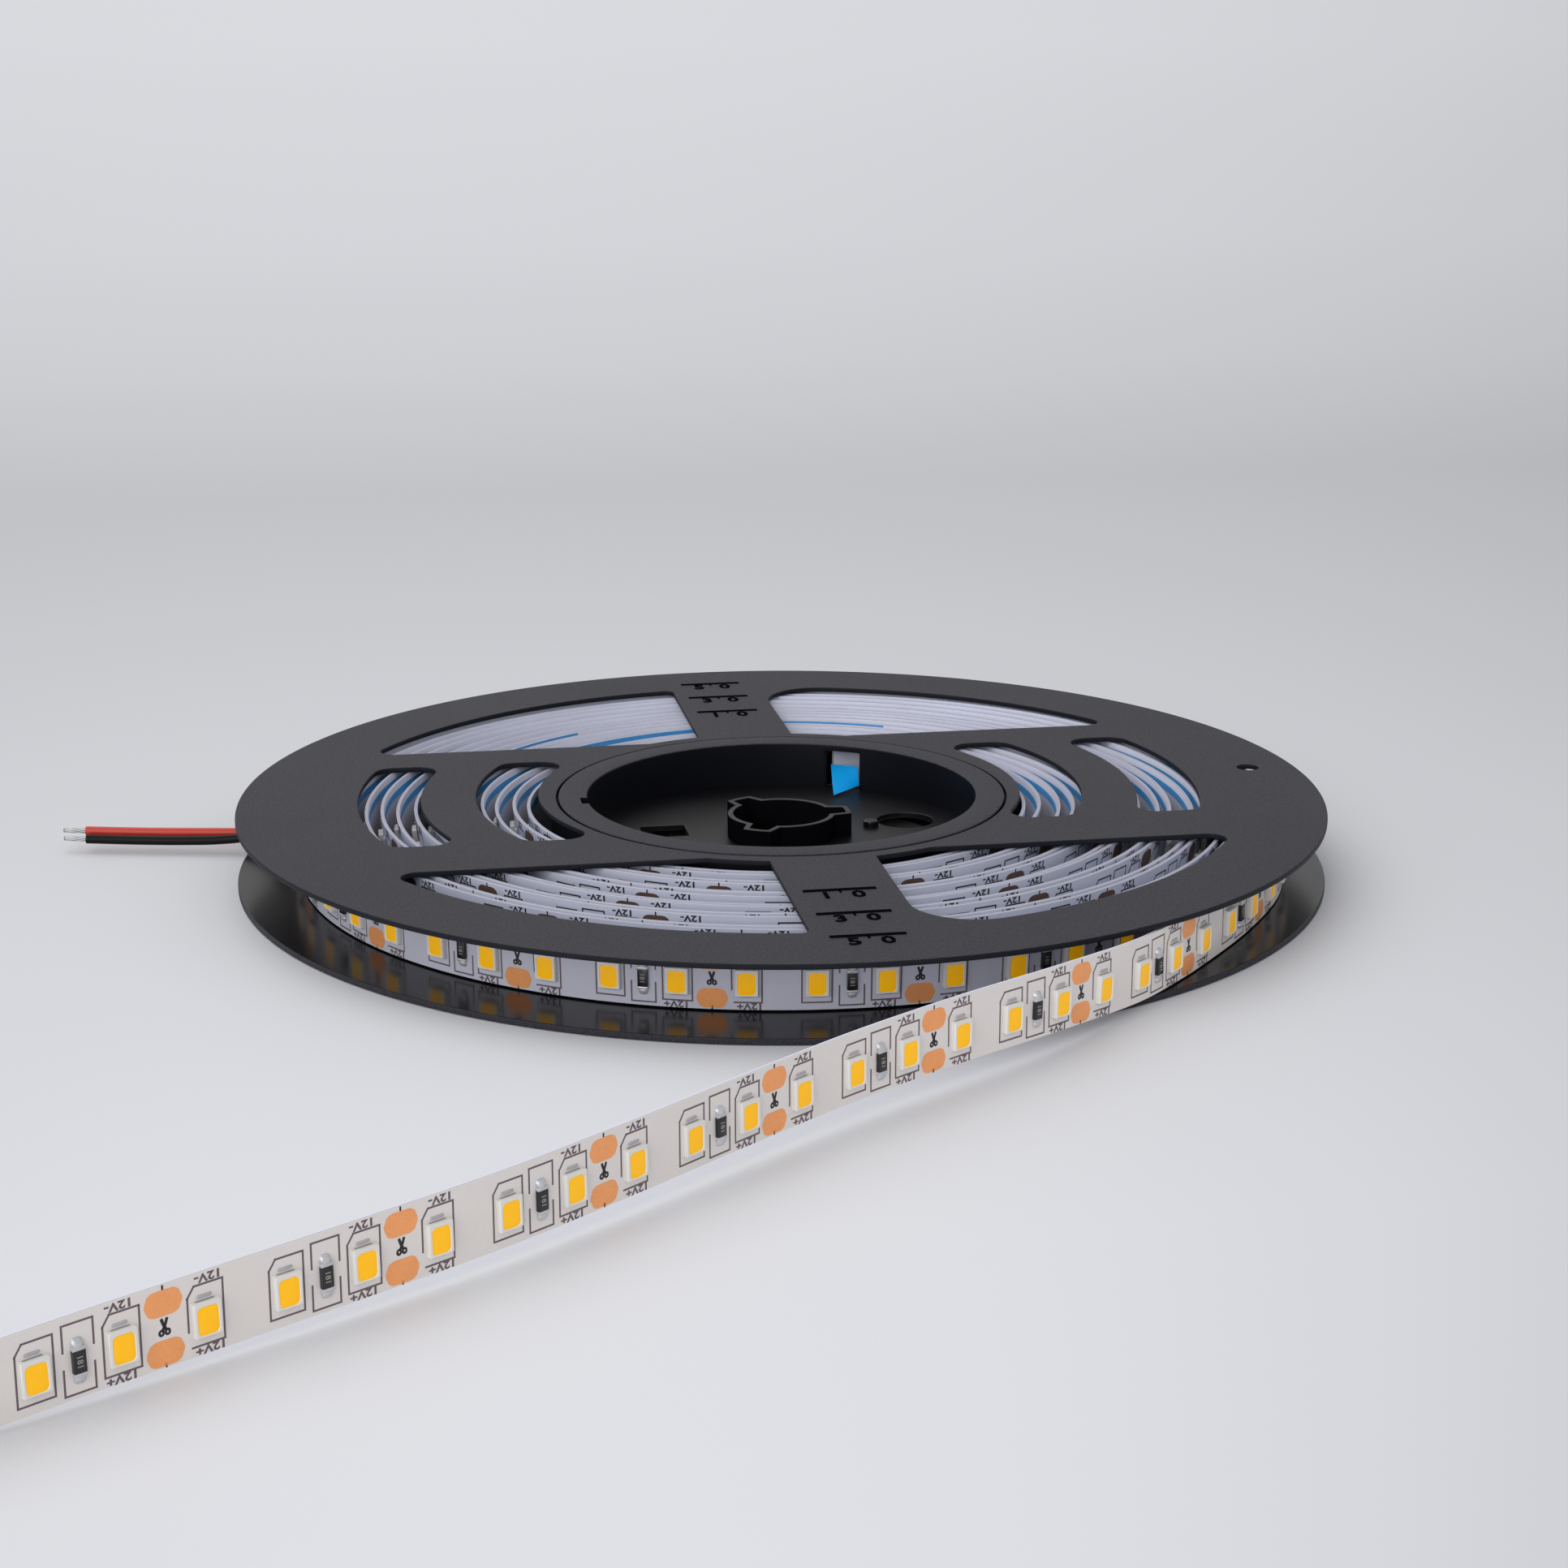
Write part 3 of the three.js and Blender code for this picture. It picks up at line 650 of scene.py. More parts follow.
def make_upper_flange():
    stock = Stock(satin_plastic, glossy_shaded_plastic, shaded_edge_plastic, matte_shaded_plastic)
    top = REEL_HEIGHT - SCALE_RELIEF
    holes = flange_holes(RING_RADIUS + FLANGE_CLEARANCE)
    mesh = plate(circle(FLANGE_RADIUS, 288), holes, UPPER_FLANGE_BOTTOM, top, FLANGE_EDGE, 3)
    stock.add_mesh(mesh, flange_finish)
    spoke_scale(stock, top)
    stock.finish("spool_upper_flange", "spool_plastic", "upper_flange", sharp=35)


def make_hub():
    stock = Stock(satin_plastic, glossy_shaded_plastic, shaded_hub_plastic, matte_shaded_plastic, shaded_web_plastic)
    holes = flange_holes(DRUM_INNER)
    low = plate(circle(FLANGE_RADIUS, 288), holes, 0, FLANGE_THICKNESS, FLANGE_EDGE, 3)
    # The lower flange's top face takes the glossy copy with painted shade.
    stock.add_mesh(low, lambda face: GLOSS if face.normal.z > 0.9 else SATIN)
    profile = rounded([
        (CUP_RADIUS, 0), (CUP_OUTER, 0), (CUP_OUTER, RING_UNDERSIDE),
        (DRUM_INNER, RING_UNDERSIDE), (DRUM_INNER, 0), (DRUM_RADIUS, 0),
        (DRUM_RADIUS, SHOULDER_HEIGHT), (RING_RADIUS, SHOULDER_HEIGHT),
        (RING_RADIUS, REEL_HEIGHT), (CUP_RADIUS, REEL_HEIGHT),
    ], 0.25)
    half = END_OPENING_HALF
    foot, head = END_OPENING
    through_drum = block((CUP_OUTER - 0.1, -half, foot), (DRUM_RADIUS + 1, half, head),
                         SLOT_BEARING)
    through_cup = block((CUP_RADIUS - 1, -half, WEB_TOP), (CUP_OUTER + 0.1, half, head),
                        SLOT_BEARING)
    notch = block((-CUP_RADIUS - 1, -NOTCH_HALF, head),
                  (-CUP_RADIUS + 1, NOTCH_HALF, REEL_HEIGHT + 1))
    ring = cut(lathe(profile), [through_drum, through_cup, notch])
    # The ring's walls take the dark copy: painted shade.
    stock.add_mesh(ring, lambda face: SATIN if face.normal.z > 0.5 else SHADED)
    (left, near), (right, far) = WEB_SLOT
    web_slot = [(left, near), (right, near), (right, far), (left, far)]
    web_holes = [arbor_outline(*ARBOR_BORE), web_slot, circle(WEB_HOLE_RADIUS, 48, WEB_HOLE)]
    web = plate(circle(CUP_RADIUS + 0.4, 192), web_holes, WEB_TOP - WEB_THICKNESS, WEB_TOP, 0.1)
    stock.add_mesh(web, WEB)
    boss = plate(arbor_outline(*ARBOR_WALL), [arbor_outline(*ARBOR_BORE)], *ARBOR_HEIGHTS, 0.14)
    # The boss's top takes the web's dark copy and its walls the near-black copy: painted shade.
    stock.add_mesh(boss, lambda face: WEB if face.normal.z > 0.5 else MATTE)
    peg_levels = (WEB_TOP - PEG_DEPTH, WEB_TOP + PEG_HEIGHT)
    peg = plate(circle(PEG_RADIUS, 32, PEG), [], *peg_levels, 0.25, 4)
    stock.add_mesh(peg, GLOSS)
    stock.finish("spool_hub_and_lower_flange", "spool_plastic", "hub_and_lower_flange", sharp=35)


make_upper_flange()
make_hub()


# Strip track

START_BEARING = SLOT_BEARING + INNER_END_LEAD
TURNED_AT_FRONT = 360 * COIL_TURNS + START_BEARING + 90
TURNED_AT_EXIT = TURNED_AT_FRONT + 270 - RUN_ROUTE[0][0]


def coil_points(turned):
    """Places on the lower edge for angles turned from the inner end, wound a little loosely."""
    turned = np.asarray(turned, float)
    slope = (COIL_OUTER - COIL_INNER) / TURNED_AT_FRONT
    tuck = np.maximum(0, 1 - turned / INNER_END_TURN)
    loosening = np.maximum(0, (turned - TURNED_AT_FRONT) / (TURNED_AT_EXIT - TURNED_AT_FRONT))
    spare = FLANGE_RADIUS + RUN_ROUTE[0][1] - COIL_INNER - slope * TURNED_AT_EXIT
    radius = COIL_INNER + slope * turned - (COIL_INNER - INNER_END_RADIUS) * tuck ** 2
    radius = radius + spare * loosening ** 2
    before_front = (TURNED_AT_FRONT - EVEN_OUTER_ANGLE - turned) / FADE_ANGLE
    inside = np.clip(before_front, 0, 1) * np.clip(turned / FADE_ANGLE, 0, 1)
    angle = np.radians(turned)
    bearing = np.radians(START_BEARING - turned)
    radius = radius + inside * UNEVEN_RADIUS * np.sin(angle * 1.137 + 0.7) * np.sin(angle * 2.41)
    from_rear = (turned - START_BEARING + 90) / 360
    pairing = np.where(np.floor(from_rear) % 2 == 0, 1.0, -1.0)
    radius = radius + inside * PAIR_OFFSET * pairing * np.clip(-np.sin(bearing) + 0.25, 0, 1)
    height = STRIP_REST + inside * UNEVEN_HEIGHT * np.sin(angle * 0.83 + 1.9)
    return np.stack([radius * np.cos(bearing), radius * np.sin(bearing), height], -1)


def smooth_through(knots, steps):
    """Centripetal curve through the knots, the one that the solid follows."""
    knots = np.asarray(knots, float)
    knots = np.vstack([2 * knots[0] - knots[1], knots, 2 * knots[-1] - knots[-2]])
    t = np.linspace(0, 1, steps, endpoint=False)[:, None]
    made = []
    for a, b, c, d in zip(knots, knots[1:], knots[2:], knots[3:]):
        first, span, last = (np.linalg.norm(q - p) ** 0.5 for p, q in ((a, b), (b, c), (c, d)))
        leave = ((b - a) / first - (c - a) / (first + span) + (c - b) / span) * span
        reach = ((c - b) / span - (d - b) / (span + last) + (d - c) / last) * span
        made.append(b + leave * t + (3 * (c - b) - 2 * leave - reach) * t ** 2
                    + (2 * (b - c) + leave + reach) * t ** 3)
    return np.vstack([*made, knots[-2:-1]])


def lay_track():
    run = []
    for bearing, beyond, share in RUN_ROUTE:
        angle, reach = math.radians(bearing), FLANGE_RADIUS + beyond
        run.append((math.cos(angle) * reach, math.sin(angle) * reach, STRIP_REST * share))
    joining = coil_points([TURNED_AT_EXIT - 24, TURNED_AT_EXIT - 12])
    outside = smooth_through([*joining, *run], 40)[::-1]
    inside = coil_points(np.arange(TURNED_AT_EXIT - 24.5, 0, -0.5))
    track = np.vstack([outside, inside, coil_points([0])])
    length = np.concatenate([[0], np.cumsum(np.linalg.norm(np.diff(track, axis=0), axis=1))])
    return track, length


TRACK, LENGTH = lay_track()
STRIP_LENGTH = LENGTH[-1]


def on_track(length):
    length = np.clip(length, 0, STRIP_LENGTH)
    return np.stack([np.interp(length, LENGTH, TRACK[:, axis]) for axis in range(3)], -1)


def side_of_track(length):
    """Unit vectors out of the lamp side, level with the table."""
    ahead = on_track(np.asarray(length) + 0.9) - on_track(np.asarray(length) - 0.9)
    side = np.stack([ahead[..., 1], -ahead[..., 0], np.zeros_like(ahead[..., 0])], -1)
    return side / np.linalg.norm(side, axis=-1, keepdims=True)


def lean_at(length):
    """How far the wound turns lean outwards from lower to upper edge."""
    length = np.asarray(length, float)
    wound = np.clip((length - WOUND_FROM + 200) / 200, 0, 1)
    return LEAN * wound * np.clip((STRIP_LENGTH - 25 - length) / 80, 0, 1)


def on_face(length, height, lift):
    """Places above the lower edge; a negative lift lies on the back of the strip."""
    length = np.clip(np.asarray(length, float), 0.02, STRIP_LENGTH)
    outwards = np.asarray(lift) + lean_at(length) * (np.asarray(height) / STRIP_WIDTH - 0.5)
    place = on_track(length) + side_of_track(length) * outwards[..., None]
    place[..., 2] += height
    return place


FACE = STRIP_THICKNESS / 2


def make_strip():
    stock = Stock(board_white, liner_white, board_edge, shaded_wound_white, blue_mark_and_shade, shaded_liner_edge,
                  shaded_liner_grey)
    stops = np.concatenate([np.arange(0, 700, 0.8), np.arange(700, STRIP_LENGTH, 1.2),
                            [STRIP_LENGTH]])
    count = len(stops)

    def ribbon(near, far, kind, wound_kind, wound_from=WOUND_FROM):
        rows = [on_face(stops, height, np.full(count, lift)) for lift, height in (near, far)]
        faces = [(i, i + 1, i + 1 + count, i + count) for i in range(count - 1)]
        # Along the coil a ribbon takes its wound finish, for most ribbons a copy with painted
        # shade.
        kinds = [kind if stop < wound_from or stop > STRIP_LENGTH - BARE_END else wound_kind
                 for stop in stops[:-1]]
        stock.add(np.vstack(rows), faces, kinds)

    board, liner, rim, shaded_board, blue_shade, shaded_rim, grey_shade = range(7)
    band_top, band_bottom = LINER_SHADE_BANDS
    shoulder = STRIP_WIDTH - FACE_INSET
    lip = FACE - LIP_INSET
    ribbon((FACE, FACE_INSET), (FACE, shoulder), board, shaded_board, WOUND_FACE_FROM)
    ribbon((-FACE, STRIP_WIDTH), (-FACE, band_top), liner, liner)
    # On the coil the back is drawn white at the top, then a blue and a grey band of painted
    # shade.
    ribbon((-FACE, band_top), (-FACE, band_bottom), liner, blue_shade)
    ribbon((-FACE, band_bottom), (-FACE, 0), liner, grey_shade)
    ribbon((FACE, shoulder), (lip, STRIP_WIDTH), board, shaded_board)
    ribbon((lip, STRIP_WIDTH), (BOARD_BACK, STRIP_WIDTH), rim, shaded_rim)
    ribbon((BOARD_BACK, STRIP_WIDTH), (-FACE, STRIP_WIDTH), liner, shaded_rim)
    ribbon((-FACE, 0), (FACE, FACE_INSET), rim, rim)
    for stop, turn in ((0, 1), (STRIP_LENGTH, -1)):
        side = side_of_track(stop)
        section = ((-FACE, 0), (FACE, 0), (FACE, STRIP_WIDTH), (-FACE, STRIP_WIDTH))
        corners = [on_track(stop) + side * lift + (0, 0, height) for lift, height in section]
        stock.add(corners, [(0, 1, 2, 3)[::turn]], rim, smooth=False)
    stock.finish("wound_strip", "strip_board", "led_strip")


make_strip()


# Lamps and resistors, with the order of their finishes

PACKAGE, GEL, TAB, FILLET, WOUND_GEL = range(5)
COAT, CAP, NUMERALS = range(3)

# Stacked outlines: half width, half height, corner radius, level and middle of each
PACKAGE_ROWS = (
    (1.38, 1.66, 0.1, 0, 0), (1.4, 1.68, 0.12, 0.1, 0), (1.4, 1.68, 0.12, 0.6, 0),
    (1.34, 1.62, 0.14, 0.68, 0), (1.12, 1.44, 0.5, 0.68, -0.1), (1.05, 1.37, 0.48, 0.6, -0.1),
)
GEL_ROWS = (
    (1.06, 1.38, 0.48, 0.6, -0.1), (0.92, 1.24, 0.4, 0.63, -0.1), (0.5, 0.7, 0.2, 0.645, -0.1),
)
TAB_ROWS = ((0.95, 0.16, 0.05, 0, 1.58), (0.95, 0.16, 0.05, 0.2, 1.58))
FILLETS = ((2.1, 0.17), (-1.9, 0.08))
CHIP_ROWS = ((0.62, 1.12, 0.06, 0, 0), (0.62, 1.12, 0.06, 0.44, 0), (0.57, 1.06, 0.06, 0.48, 0))
CAP_ROWS = (
    (0.64, 0.2, 0.08, 0, 1.26), (0.64, 0.2, 0.08, 0.44, 1.26), (0.56, 0.14, 0.08, 0.5, 1.26),
)
DOME_ROWS = (
    (0.62, 0.52, 0.5, 0, 1.72), (0.56, 0.44, 0.43, 0.22, 1.68), (0.42, 0.3, 0.29, 0.4, 1.62),
    (0.18, 0.12, 0.11, 0.48, 1.58),
)


def lamp_length(index):
    return (index + 0.5) * LAMP_PITCH + (0 if index < RUN_LAMPS else JOINT_SHIFT)


def lamp_kind(index):
    """0, 1 or 2: which of a segment's three lamps this is."""
    return index % 3 if index < RUN_LAMPS else (index + 1) % 3


def mount(length):
    """Frame on the lamp side: x along the strip, y up, z out of the face."""
    ahead = on_track(length + 1.4) - on_track(length - 1.4)
    ahead /= np.linalg.norm(ahead)
    side = np.array([ahead[1], -ahead[0], 0])
    side /= np.linalg.norm(side)
    lean = float(lean_at(length))
    place = on_track(length) + side * (FACE - lean / 2)
    side[2] = -lean / STRIP_WIDTH
    side /= np.linalg.norm(side)
    up = np.cross(side, ahead)
    return np.stack([ahead, up, side], -1), place + up * LAMP_HEIGHT


def placed(points, seat):
    turn, place = seat
    return np.asarray(points, float) @ turn.T + place


def pillow(half_x, half_y, radius, count):
    """Rounded rectangle of points."""
    points = []
    for quarter, (sx, sy) in enumerate(((1, 1), (-1, 1), (-1, -1), (1, -1))):
        centre = (sx * (half_x - radius), sy * (half_y - radius))
        start = quarter * math.pi / 2
        points += arc(centre, radius, start, start + math.pi / 2, count)
    return points


def loft(loops, closed=True):
    """Skin over stacked loops of (x, y, z) points, the last one filled."""
    count = len(loops[0])
    points = [point for loop in loops for point in loop]
    faces = []
    for level in range(len(loops) - 1):
        for i in range(count):
            j = (i + 1) % count
            a, b = level * count, (level + 1) * count
            faces.append((a + i, a + j, b + j, b + i))
    if closed:
        faces.append(tuple((len(loops) - 1) * count + i for i in range(count)))
    return points, faces


def stack(rows, count, end=1):
    """Loops of points, each from half width, half height, corner radius, level and middle."""
    return [[(x, y + middle * end, level) for x, y in pillow(half_x, half_y, radius, count)]
            for half_x, half_y, radius, level, middle in rows]


def lamp_parts(fine=True):
    """Package, phosphor window, end terminals and solder, each as points, faces and finish."""
    count = 5 if fine else 2
    parts = [
        (*loft(stack(PACKAGE_ROWS, count), closed=False), PACKAGE),
        (*loft(stack(GEL_ROWS, count)), GEL if fine else WOUND_GEL),
    ]
    parts += [(*loft(stack(TAB_ROWS, 2, end)), TAB) for end in (1, -1)]
    if fine:
        for middle, half in FILLETS:
            bead = (
                (0.8, half, half * 0.95, 0.0, middle),
                (0.72, half * 0.8, half * 0.75, 0.1, middle),
                (0.4, half * 0.35, half * 0.3, 0.15, middle),
            )
            parts.append((*loft(stack(bead, 4)), FILLET))
    return parts


def resistor_parts():
    """Coated body, capped ends and solder domes of a chip resistor."""
    parts = [(*loft(stack(CHIP_ROWS, 2)), COAT)]
    for end in (1, -1):
        parts.append((*loft(stack(CAP_ROWS, 3, end)), CAP))
        parts.append((*loft(stack(DOME_ROWS, 5, end)), CAP))
    return parts


LAMP_FINISHES = (lamp_white, phosphor, solder, dull_tin)
LAMP = lamp_parts()
SMALL_LAMP = lamp_parts(fine=False)
RESISTOR = resistor_parts()
DIGITS = glyphs("181", 0.9, 0.01)


def add_parts(stock, parts, seat):
    for points, faces, kind in parts:
        stock.add(placed(points, seat), faces, kind)


def add_resistor(stock, seat):
    add_parts(stock, RESISTOR, seat)
    points, faces = DIGITS
    turned = np.stack([points[:, 1] * 0.9, -points[:, 0], np.full(len(points), 0.485)], -1)
    stock.add(placed(turned, seat), faces, NUMERALS)


def make_run_parts():
    for index in range(RUN_LAMPS):
        stock = Stock(*LAMP_FINISHES)
        add_parts(stock, LAMP, mount(lamp_length(index)))
        stock.finish(f"lamp_{index + 1:02d}", "lamp_body", f"led_{index + 1:02d}", sharp=40)
    for index in range(RUN_RESISTORS):
        stock = Stock(chip_black, solder_dome, chip_digits)
        add_resistor(stock, mount((3 * index + 2) * LAMP_PITCH))
        name, node = f"chip_resistor_{index + 1}", f"resistor_0{index + 1}"
        stock.finish(name, "resistor_body", node, sharp=40)


def coil_lamps():
    """Numbers of the coil's lamps, clear of the inner end."""
    last = int((STRIP_LENGTH - 60) / LAMP_PITCH)
    return range(RUN_LAMPS, last)


def make_coil_parts():
    lamps = Stock(*LAMP_FINISHES, wound_phosphor)
    chips = Stock(chip_black, solder_dome, chip_digits)
    for index in coil_lamps():
        # Outer coil lamps keep the painted glow; the inner ones take the plain gel.
        outer = index < RUN_LAMPS + OUTER_LAMPS + 6
        add_parts(lamps, LAMP if outer else SMALL_LAMP, mount(lamp_length(index)))
        if lamp_kind(index) == 1:
            add_resistor(chips, mount(lamp_length(index) + LAMP_PITCH / 2))
    lamps.finish("coil_lamps", "lamp_body", sharp=40)
    chips.finish("coil_resistors", "resistor_body", sharp=40)


make_run_parts()
make_coil_parts()


# Print and pads on the board: soft ink and bright copper on the run, dark ink on the cut marks,
# and darker print and pads on the coil as painted shade

SOFT, DARK_INK_AND_SHADE = range(2)
LINE_WIDTH = 0.2


def subdivided(path, reach=0.8):
    made = [path[0]]
    for a, b in zip(path, path[1:]):
        steps = max(1, math.ceil(math.dist(a, b) / reach))
        start, span = np.array(a), np.array(b) - np.array(a)
        made += [tuple(start + span * i / steps) for i in range(1, steps + 1)]
    return made


def stamp(stock, points, faces, length, kind=0, lift=0.012):
    """Flat print laid on the lamp side at a length along the strip."""
    points = np.asarray(points, float)
    stock.add(on_face(points[:, 0] + length, points[:, 1], np.full(len(points), FACE + lift)),
              faces, kind)


def line_mark(path):
    return stroke(subdivided(path), LINE_WIDTH)


def corner_line(path):
    """A line with square corners, from one stroke for each side."""
    parts = []
    for a, b in zip(path, path[1:]):
        a, b = np.array(a, float), np.array(b, float)
        stretch = (b - a) / np.linalg.norm(b - a) * LINE_WIDTH / 2
        parts.append(line_mark([tuple(a - stretch), tuple(b + stretch)]))
    return parts


def pad_face(centre, half_x=1.9, half_y=1.25, radius=1.1):
    """Rounded pad in upright strips, so that it follows the bend."""
    columns = np.linspace(-half_x, half_x, 13)
    points = []
    for x in columns:
        inset = max(0.0, abs(x) - (half_x - radius))
        reach = half_y - radius + math.sqrt(max(0.0, radius ** 2 - inset ** 2))
        points += [(x, centre - reach), (x, centre + reach)]
    faces = [(2 * i, 2 * i + 2, 2 * i + 3, 2 * i + 1) for i in range(len(columns) - 1)]
    return points, faces


def scissors():
    """Cutting symbol between the pads."""
    parts = []
    for side in (-1, 1):
        ring = [(0.31 * side + 0.21 * math.cos(a), 3.42 + 0.24 * math.sin(a))
                for a in np.linspace(0, 2 * math.pi, 11)]
        parts.append(stroke(ring, 0.25))
        parts.append(stroke([(0.2 * side, 3.6), (-0.1 * side, 4.2), (-0.3 * side, 4.8)], 0.3))
    return parts


BOX = 1.8
BOX_LOW = 0.97
BOX_HIGH = 6.83
BOX_TOP = [(-BOX, 5.83), (-1.1, BOX_HIGH), (BOX, BOX_HIGH), (BOX, BOX_LOW)]
LAMP_BOX = corner_line([*BOX_TOP, (-BOX, BOX_LOW), (-BOX, 5.83)])
FIRST_BOX = [*corner_line([(-BOX, 2.6), *BOX_TOP]),
             *corner_line([(-1.5, BOX_LOW), (BOX, BOX_LOW)])]
BRACKET = 1.5
CHIP_BRACKETS = [
    *corner_line([(-BRACKET, 4.7), (-BRACKET, 7.2), (BRACKET, 7.2), (BRACKET, 4.7)]),
    *corner_line([(-BRACKET, 3.0), (-BRACKET, 0.5), (BRACKET, 0.5), (BRACKET, 3.0)]),
]
PAD_HEIGHTS = (1.45, 6.25)
CUT_MARKS = [line_mark([(0, 0.04), (0, 0.5)]), line_mark([(0, 7.5), (0, 7.96)])]
SCISSORS = scissors()
MINUS_SIDE = glyphs("12V-", 1.12, 0.04)
PLUS_SIDE = glyphs("12V+", 1.12, 0.04)


def stamp_text(stock, lettering, length, height, kind):
    points, faces = lettering
    upside_down = np.stack([-points[:, 0] * 1.3, -points[:, 1] + height], -1)
    stamp(stock, upside_down, faces, length, kind, lift=0.014)


def make_print():
    ink = Stock(print_ink, mark_ink_and_shade)
    pads = Stock(bare_copper, shaded_copper)
    for index in [*range(RUN_LAMPS), *coil_lamps()]:
        length, kind = lamp_length(index), lamp_kind(index)
        # Print and pads on the wound turns take the dark copies: painted shade.
        shade = DARK_INK_AND_SHADE if length > WOUND_FROM else SOFT
        for points, faces in FIRST_BOX if kind == 0 else LAMP_BOX:
            stamp(ink, points, faces, length, shade)
        if kind != 1:
            middle = length + (0.25 if kind == 0 else -0.25)
            stamp_text(ink, MINUS_SIDE, middle, 7.4, shade)
            stamp_text(ink, PLUS_SIDE, middle, 0.46, shade)
        beyond = length + LAMP_PITCH / 2
        if kind == 1 and index != RUN_LAMPS - 1:
            for points, faces in CHIP_BRACKETS:
                stamp(ink, points, faces, beyond, shade)
        if kind == 2:
            for points, faces in [*CUT_MARKS, *SCISSORS]:
                stamp(ink, points, faces, beyond, DARK_INK_AND_SHADE)
            for centre in PAD_HEIGHTS:
                shade = DARK_INK_AND_SHADE if beyond > WOUND_FROM else SOFT
                stamp(pads, *pad_face(centre), beyond, shade)
    for centre in PAD_HEIGHTS:
        stamp(pads, *pad_face(centre), 0)
    for points, faces in SCISSORS:
        stamp(ink, points, faces, 0, DARK_INK_AND_SHADE)
    ink.finish("board_print", "strip_board")
    pads.finish("board_pads", "strip_board")


make_print()


def at_turn(radius, bearing):
    """Length along the strip where the coil has this radius, near this bearing."""
    slope = (COIL_OUTER - COIL_INNER) / TURNED_AT_FRONT
    turned = (radius - COIL_INNER) / slope
    target = START_BEARING - bearing
    turned = target + 360 * round((turned - target) / 360)
    place = coil_points([turned])[0]
    return LENGTH[np.argmin(np.linalg.norm(TRACK - place, axis=1))]


def make_liner_marks():
    """Blue bands along the top of the back, on three arcs of the coil."""
    stock = Stock(blue_mark_and_shade)
    arcs = [(41, 133, 99, 0.9), (48.3, 142, 120, 0.35), (44, 82, 60, 0.3)]
    for radius, start, end, depth in arcs:
        first, last = sorted((at_turn(radius, start), at_turn(radius, end)))
        stops = np.arange(first, last, 1.0)
        low = on_face(stops, STRIP_WIDTH - depth, np.full(len(stops), -FACE - 0.012))
        high = on_face(stops, STRIP_WIDTH - 0.02, np.full(len(stops), -FACE - 0.012))
        count = len(stops)
        faces = [(i + count, i + count + 1, i + 1, i) for i in range(count - 1)]
        stock.add(np.vstack([low, high]), faces)
    stock.finish("liner_marks", "strip_board")


make_liner_marks()


# Tape at the inner end: its top in the slot, and how far each lower corner lies from the upper

TAPE_RADIUS = 28.1
TAPE_TOP = 6.7
TAPE_HALF = 2.1
TAPE_DROPS = ((-0.2, -1.8, -2.4), (-0.9, -7.2, -2.75))
TAPE_SAG = 0.5


def make_tape():
    stock = Stock(tape_blue)
    bearing = math.radians(SLOT_BEARING)
    outward = np.array([math.cos(bearing), math.sin(bearing), 0])
    across = np.array([-math.sin(bearing), math.cos(bearing), 0])
    top = outward * TAPE_RADIUS + np.array([0, 0, TAPE_TOP])
    corners = [(top + across * TAPE_HALF * side, top + across * TAPE_HALF * side + drop)
               for side, drop in ((-1, TAPE_DROPS[0]), (1, TAPE_DROPS[1]))]
    rows = []
    for t in np.linspace(0, 1, 13):
        right, left = (high + (low - high) * t for high, low in corners)
        sag = np.array([0, 0, -TAPE_SAG * math.sin(math.pi * t)])
        rows.append([right + (left - right) * s + sag * s for s in np.linspace(0, 1, 7)])
    sheet = np.array(rows)
    count = sheet.shape[1]
    faces = [(i * count + j, i * count + j + 1, (i + 1) * count + j + 1, (i + 1) * count + j)
             for i in range(sheet.shape[0] - 1) for j in range(count - 1)]
    lifted = sheet + (-outward + (0, 0, 0.6)) * 0.1
    stock.add(sheet.reshape(-1, 3), faces)
    stock.add(lifted.reshape(-1, 3), [face[::-1] for face in faces])
    stock.finish("tape_at_inner_end", "tape_blue", "tape_tab")


make_tape()


# Lead wires, with seven bare strands in millimetres

STRAND_COUNT = 7
STRAND_RING = 0.26
STRAND_RADIUS = 0.13
STRAND_LENGTH = 3.2
STRAND_TWIST = 2.4


def make_lead(name, node, route, sleeve):
    line = smooth_through(route, 6)
    curve = bpy.data.curves.new(name, "CURVE")
    curve.dimensions = "3D"
    curve.bevel_depth = LEAD_DIAMETER / 2
    curve.bevel_resolution = 5
    curve.use_fill_caps = True
    spline = curve.splines.new("POLY")
    spline.points.add(len(line) - 1)
    for knot, place in zip(spline.points, line):
        knot.co = (place[0] + AXIS.x, place[1] + AXIS.y, place[2], 1)
    spline.use_smooth = True
    curve.materials.append(sleeve)
    lead = settle(bpy.data.objects.new(name, curve), node.replace("lead", "sleeve"), node)
    tip = make_strands(f"{name}_strands", f"{node}_end", np.array(route[-2]), np.array(route[-1]))


def make_strands(name, node, before, end):
    """Twisted bare strands beyond the sleeve."""
    stock = Stock(solder)
    along = (end - before) / np.linalg.norm(end - before)
    across = np.cross(along, (0, 0, 1))
    across /= np.linalg.norm(across)
    up = np.cross(across, along)
    for strand in range(STRAND_COUNT):
        ring = 0 if strand == 0 else STRAND_RING
        path = []
        for t in np.linspace(0, 1, 12):
            turn = strand * math.pi / 3 + t * STRAND_TWIST
            spread = ring * (1 - 0.35 * t)
            place = end / MM + along * (STRAND_LENGTH * t)
            path.append(place + (across * math.cos(turn) + up * math.sin(turn)) * spread)
        loops = []
        for place in path:
            loops.append([tuple(place + (across * math.cos(a) + up * math.sin(a)) * STRAND_RADIUS)
                          for a in np.linspace(0, 2 * math.pi, 6, endpoint=False)])
        stock.add(*loft(loops))
    return stock.finish(name, "tinned_copper", node)


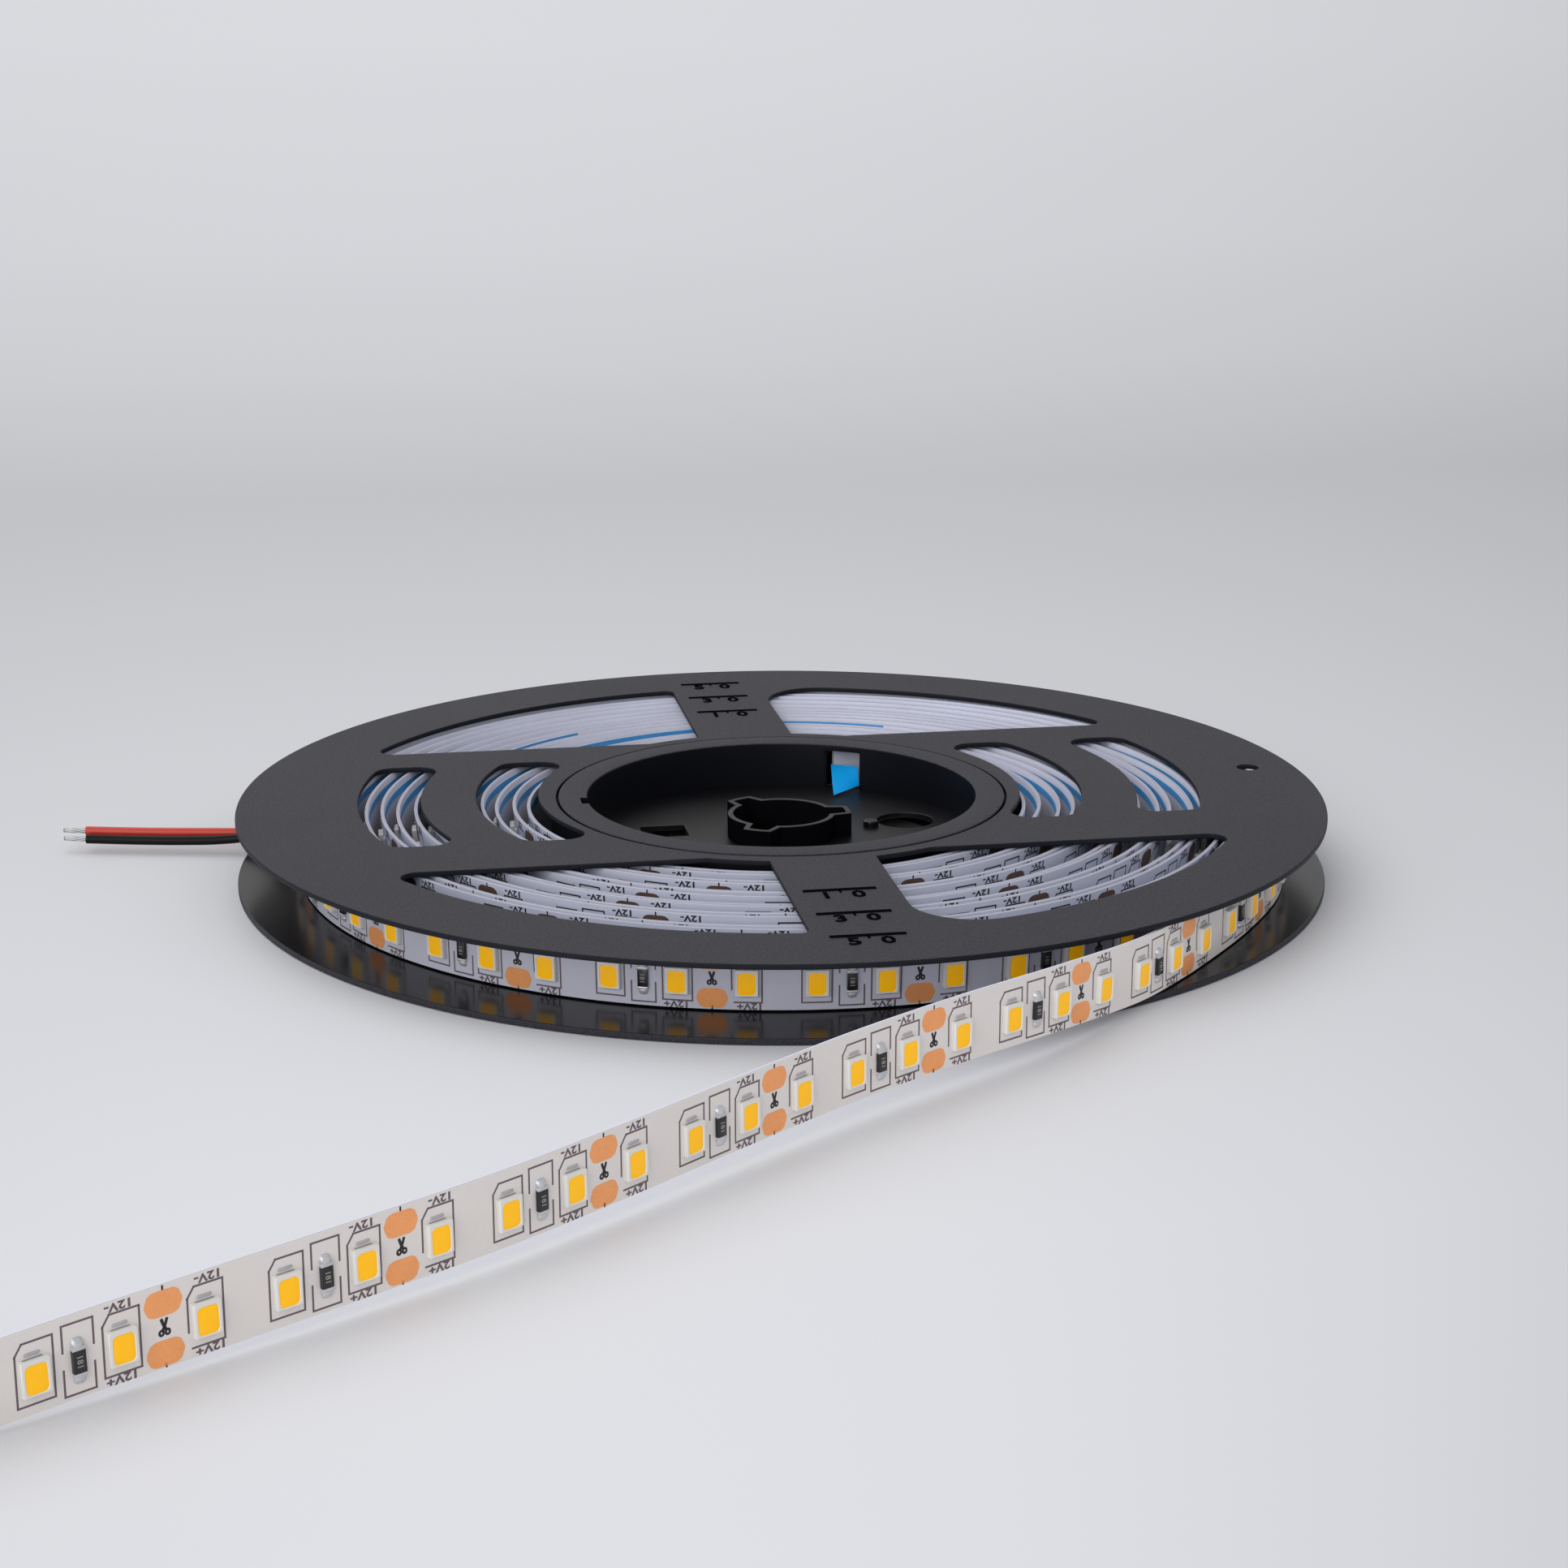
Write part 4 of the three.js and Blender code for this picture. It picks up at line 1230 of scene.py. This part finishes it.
make_lead("red_lead", "lead_red", RED_ROUTE, sleeve_red)
make_lead("black_lead", "lead_black", BLACK_ROUTE, sleeve_black)


# Floor and light: the floor's levels, painted light and shade, run from near to far, by the
# logarithm of the distance

FLOOR_LEVELS = ((0.22, 0.74), (0.3, 0.67), (0.348, 0.605), (0.395, 0.545), (0.428, 0.51),
                (0.488, 0.59), (0.57, 0.64), (0.85, 0.68))
FLOOR_START = 0.405
FLOOR_NEAREST = 0.05
FLOOR_CENTRE = (0.067, 0.088)
FLOOR_FALL = (-1.1, 1.05, 0.75)


def make_floor():
    """Table with painted light and shade: its tone changes with distance and falls off to both
    sides of the view.
    """
    mesh = bpy.data.meshes.new("floor")
    reach = 30
    corners = [(-reach, -reach, 0), (reach, -reach, 0), (reach, reach, 0), (-reach, reach, 0)]
    mesh.from_pydata(corners, [], [(0, 1, 2, 3)])
    floor = bpy.data.objects.new("floor", mesh)
    bpy.context.scene.collection.objects.link(floor)
    floor.location = (AXIS.x, AXIS.y, -0.0001)
    material = bpy.data.materials.new("floor_painted_shading")
    material.use_nodes = True
    tree = material.node_tree
    bsdf = tree.nodes["Principled BSDF"]
    bsdf.inputs["Roughness"].default_value = 0.6
    coordinates = tree.nodes.new("ShaderNodeTexCoord")
    split = tree.nodes.new("ShaderNodeSeparateXYZ")
    tree.links.new(coordinates.outputs["Object"], split.inputs[0])
    behind = math_node(tree, "ADD", split.outputs["Y"], FLOOR_START)
    distance = math_node(tree, "MAXIMUM", behind, FLOOR_NEAREST)
    depth = math_node(tree, "LOGARITHM", distance, 10.0)
    place = math_node(tree, "MULTIPLY", math_node(tree, "ADD", depth, 1.0), 0.5)
    ramp = tree.nodes.new("ShaderNodeValToRGB")
    elements = ramp.color_ramp.elements
    while len(elements) < len(FLOOR_LEVELS):
        elements.new(0.5)
    for element, (position, level) in zip(elements, FLOOR_LEVELS):
        element.position = position
        element.color = (level * 0.985, level * 0.99, level * 1.03, 1)
    tree.links.new(place, ramp.inputs["Fac"])
    shift, centre = FLOOR_CENTRE
    slope, full, least = FLOOR_FALL
    from_camera = math_node(tree, "ADD", split.outputs["X"], shift)
    sideways = math_node(tree, "DIVIDE", from_camera, distance)
    from_centre = math_node(tree, "SUBTRACT", sideways, centre)
    fall = math_node(tree, "MULTIPLY", math_node(tree, "POWER", from_centre, 2.0), slope)
    shade = tree.nodes.new("ShaderNodeVectorMath")
    shade.operation = "SCALE"
    tree.links.new(ramp.outputs["Color"], shade.inputs[0])
    lit = math_node(tree, "MAXIMUM", math_node(tree, "ADD", fall, full), least)
    tree.links.new(lit, shade.inputs["Scale"])
    tree.links.new(shade.outputs[0], bsdf.inputs["Base Color"])
    mesh.materials.append(material)


def add_sun(name, bearing, elevation, strength, spread):
    """Wide soft light from a bearing (0 is +X, 90 is +Y) and an elevation, in degrees."""
    data = bpy.data.lights.new(name, "SUN")
    data.energy = strength
    data.angle = math.radians(spread)
    light = bpy.data.objects.new(name, data)
    bpy.context.scene.collection.objects.link(light)
    towards = Vector((math.cos(math.radians(bearing)) * math.cos(math.radians(elevation)),
                      math.sin(math.radians(bearing)) * math.cos(math.radians(elevation)),
                      math.sin(math.radians(elevation))))
    light.rotation_euler = towards.to_track_quat("Z", "Y").to_euler()


def set_light():
    world = bpy.data.worlds.new("studio")
    bpy.context.scene.world = world
    world.use_nodes = True
    background = world.node_tree.nodes["Background"]
    background.inputs["Color"].default_value = (0.97, 0.98, 1.0, 1)
    background.inputs["Strength"].default_value = 0.6
    add_sun("rear_soft_light", 114, 52, 0.75, 50)
    add_sun("front_soft_light", 235, 24, 1.5, 60)


make_floor()
set_light()
bpy.context.scene.view_settings.view_transform = "Standard"
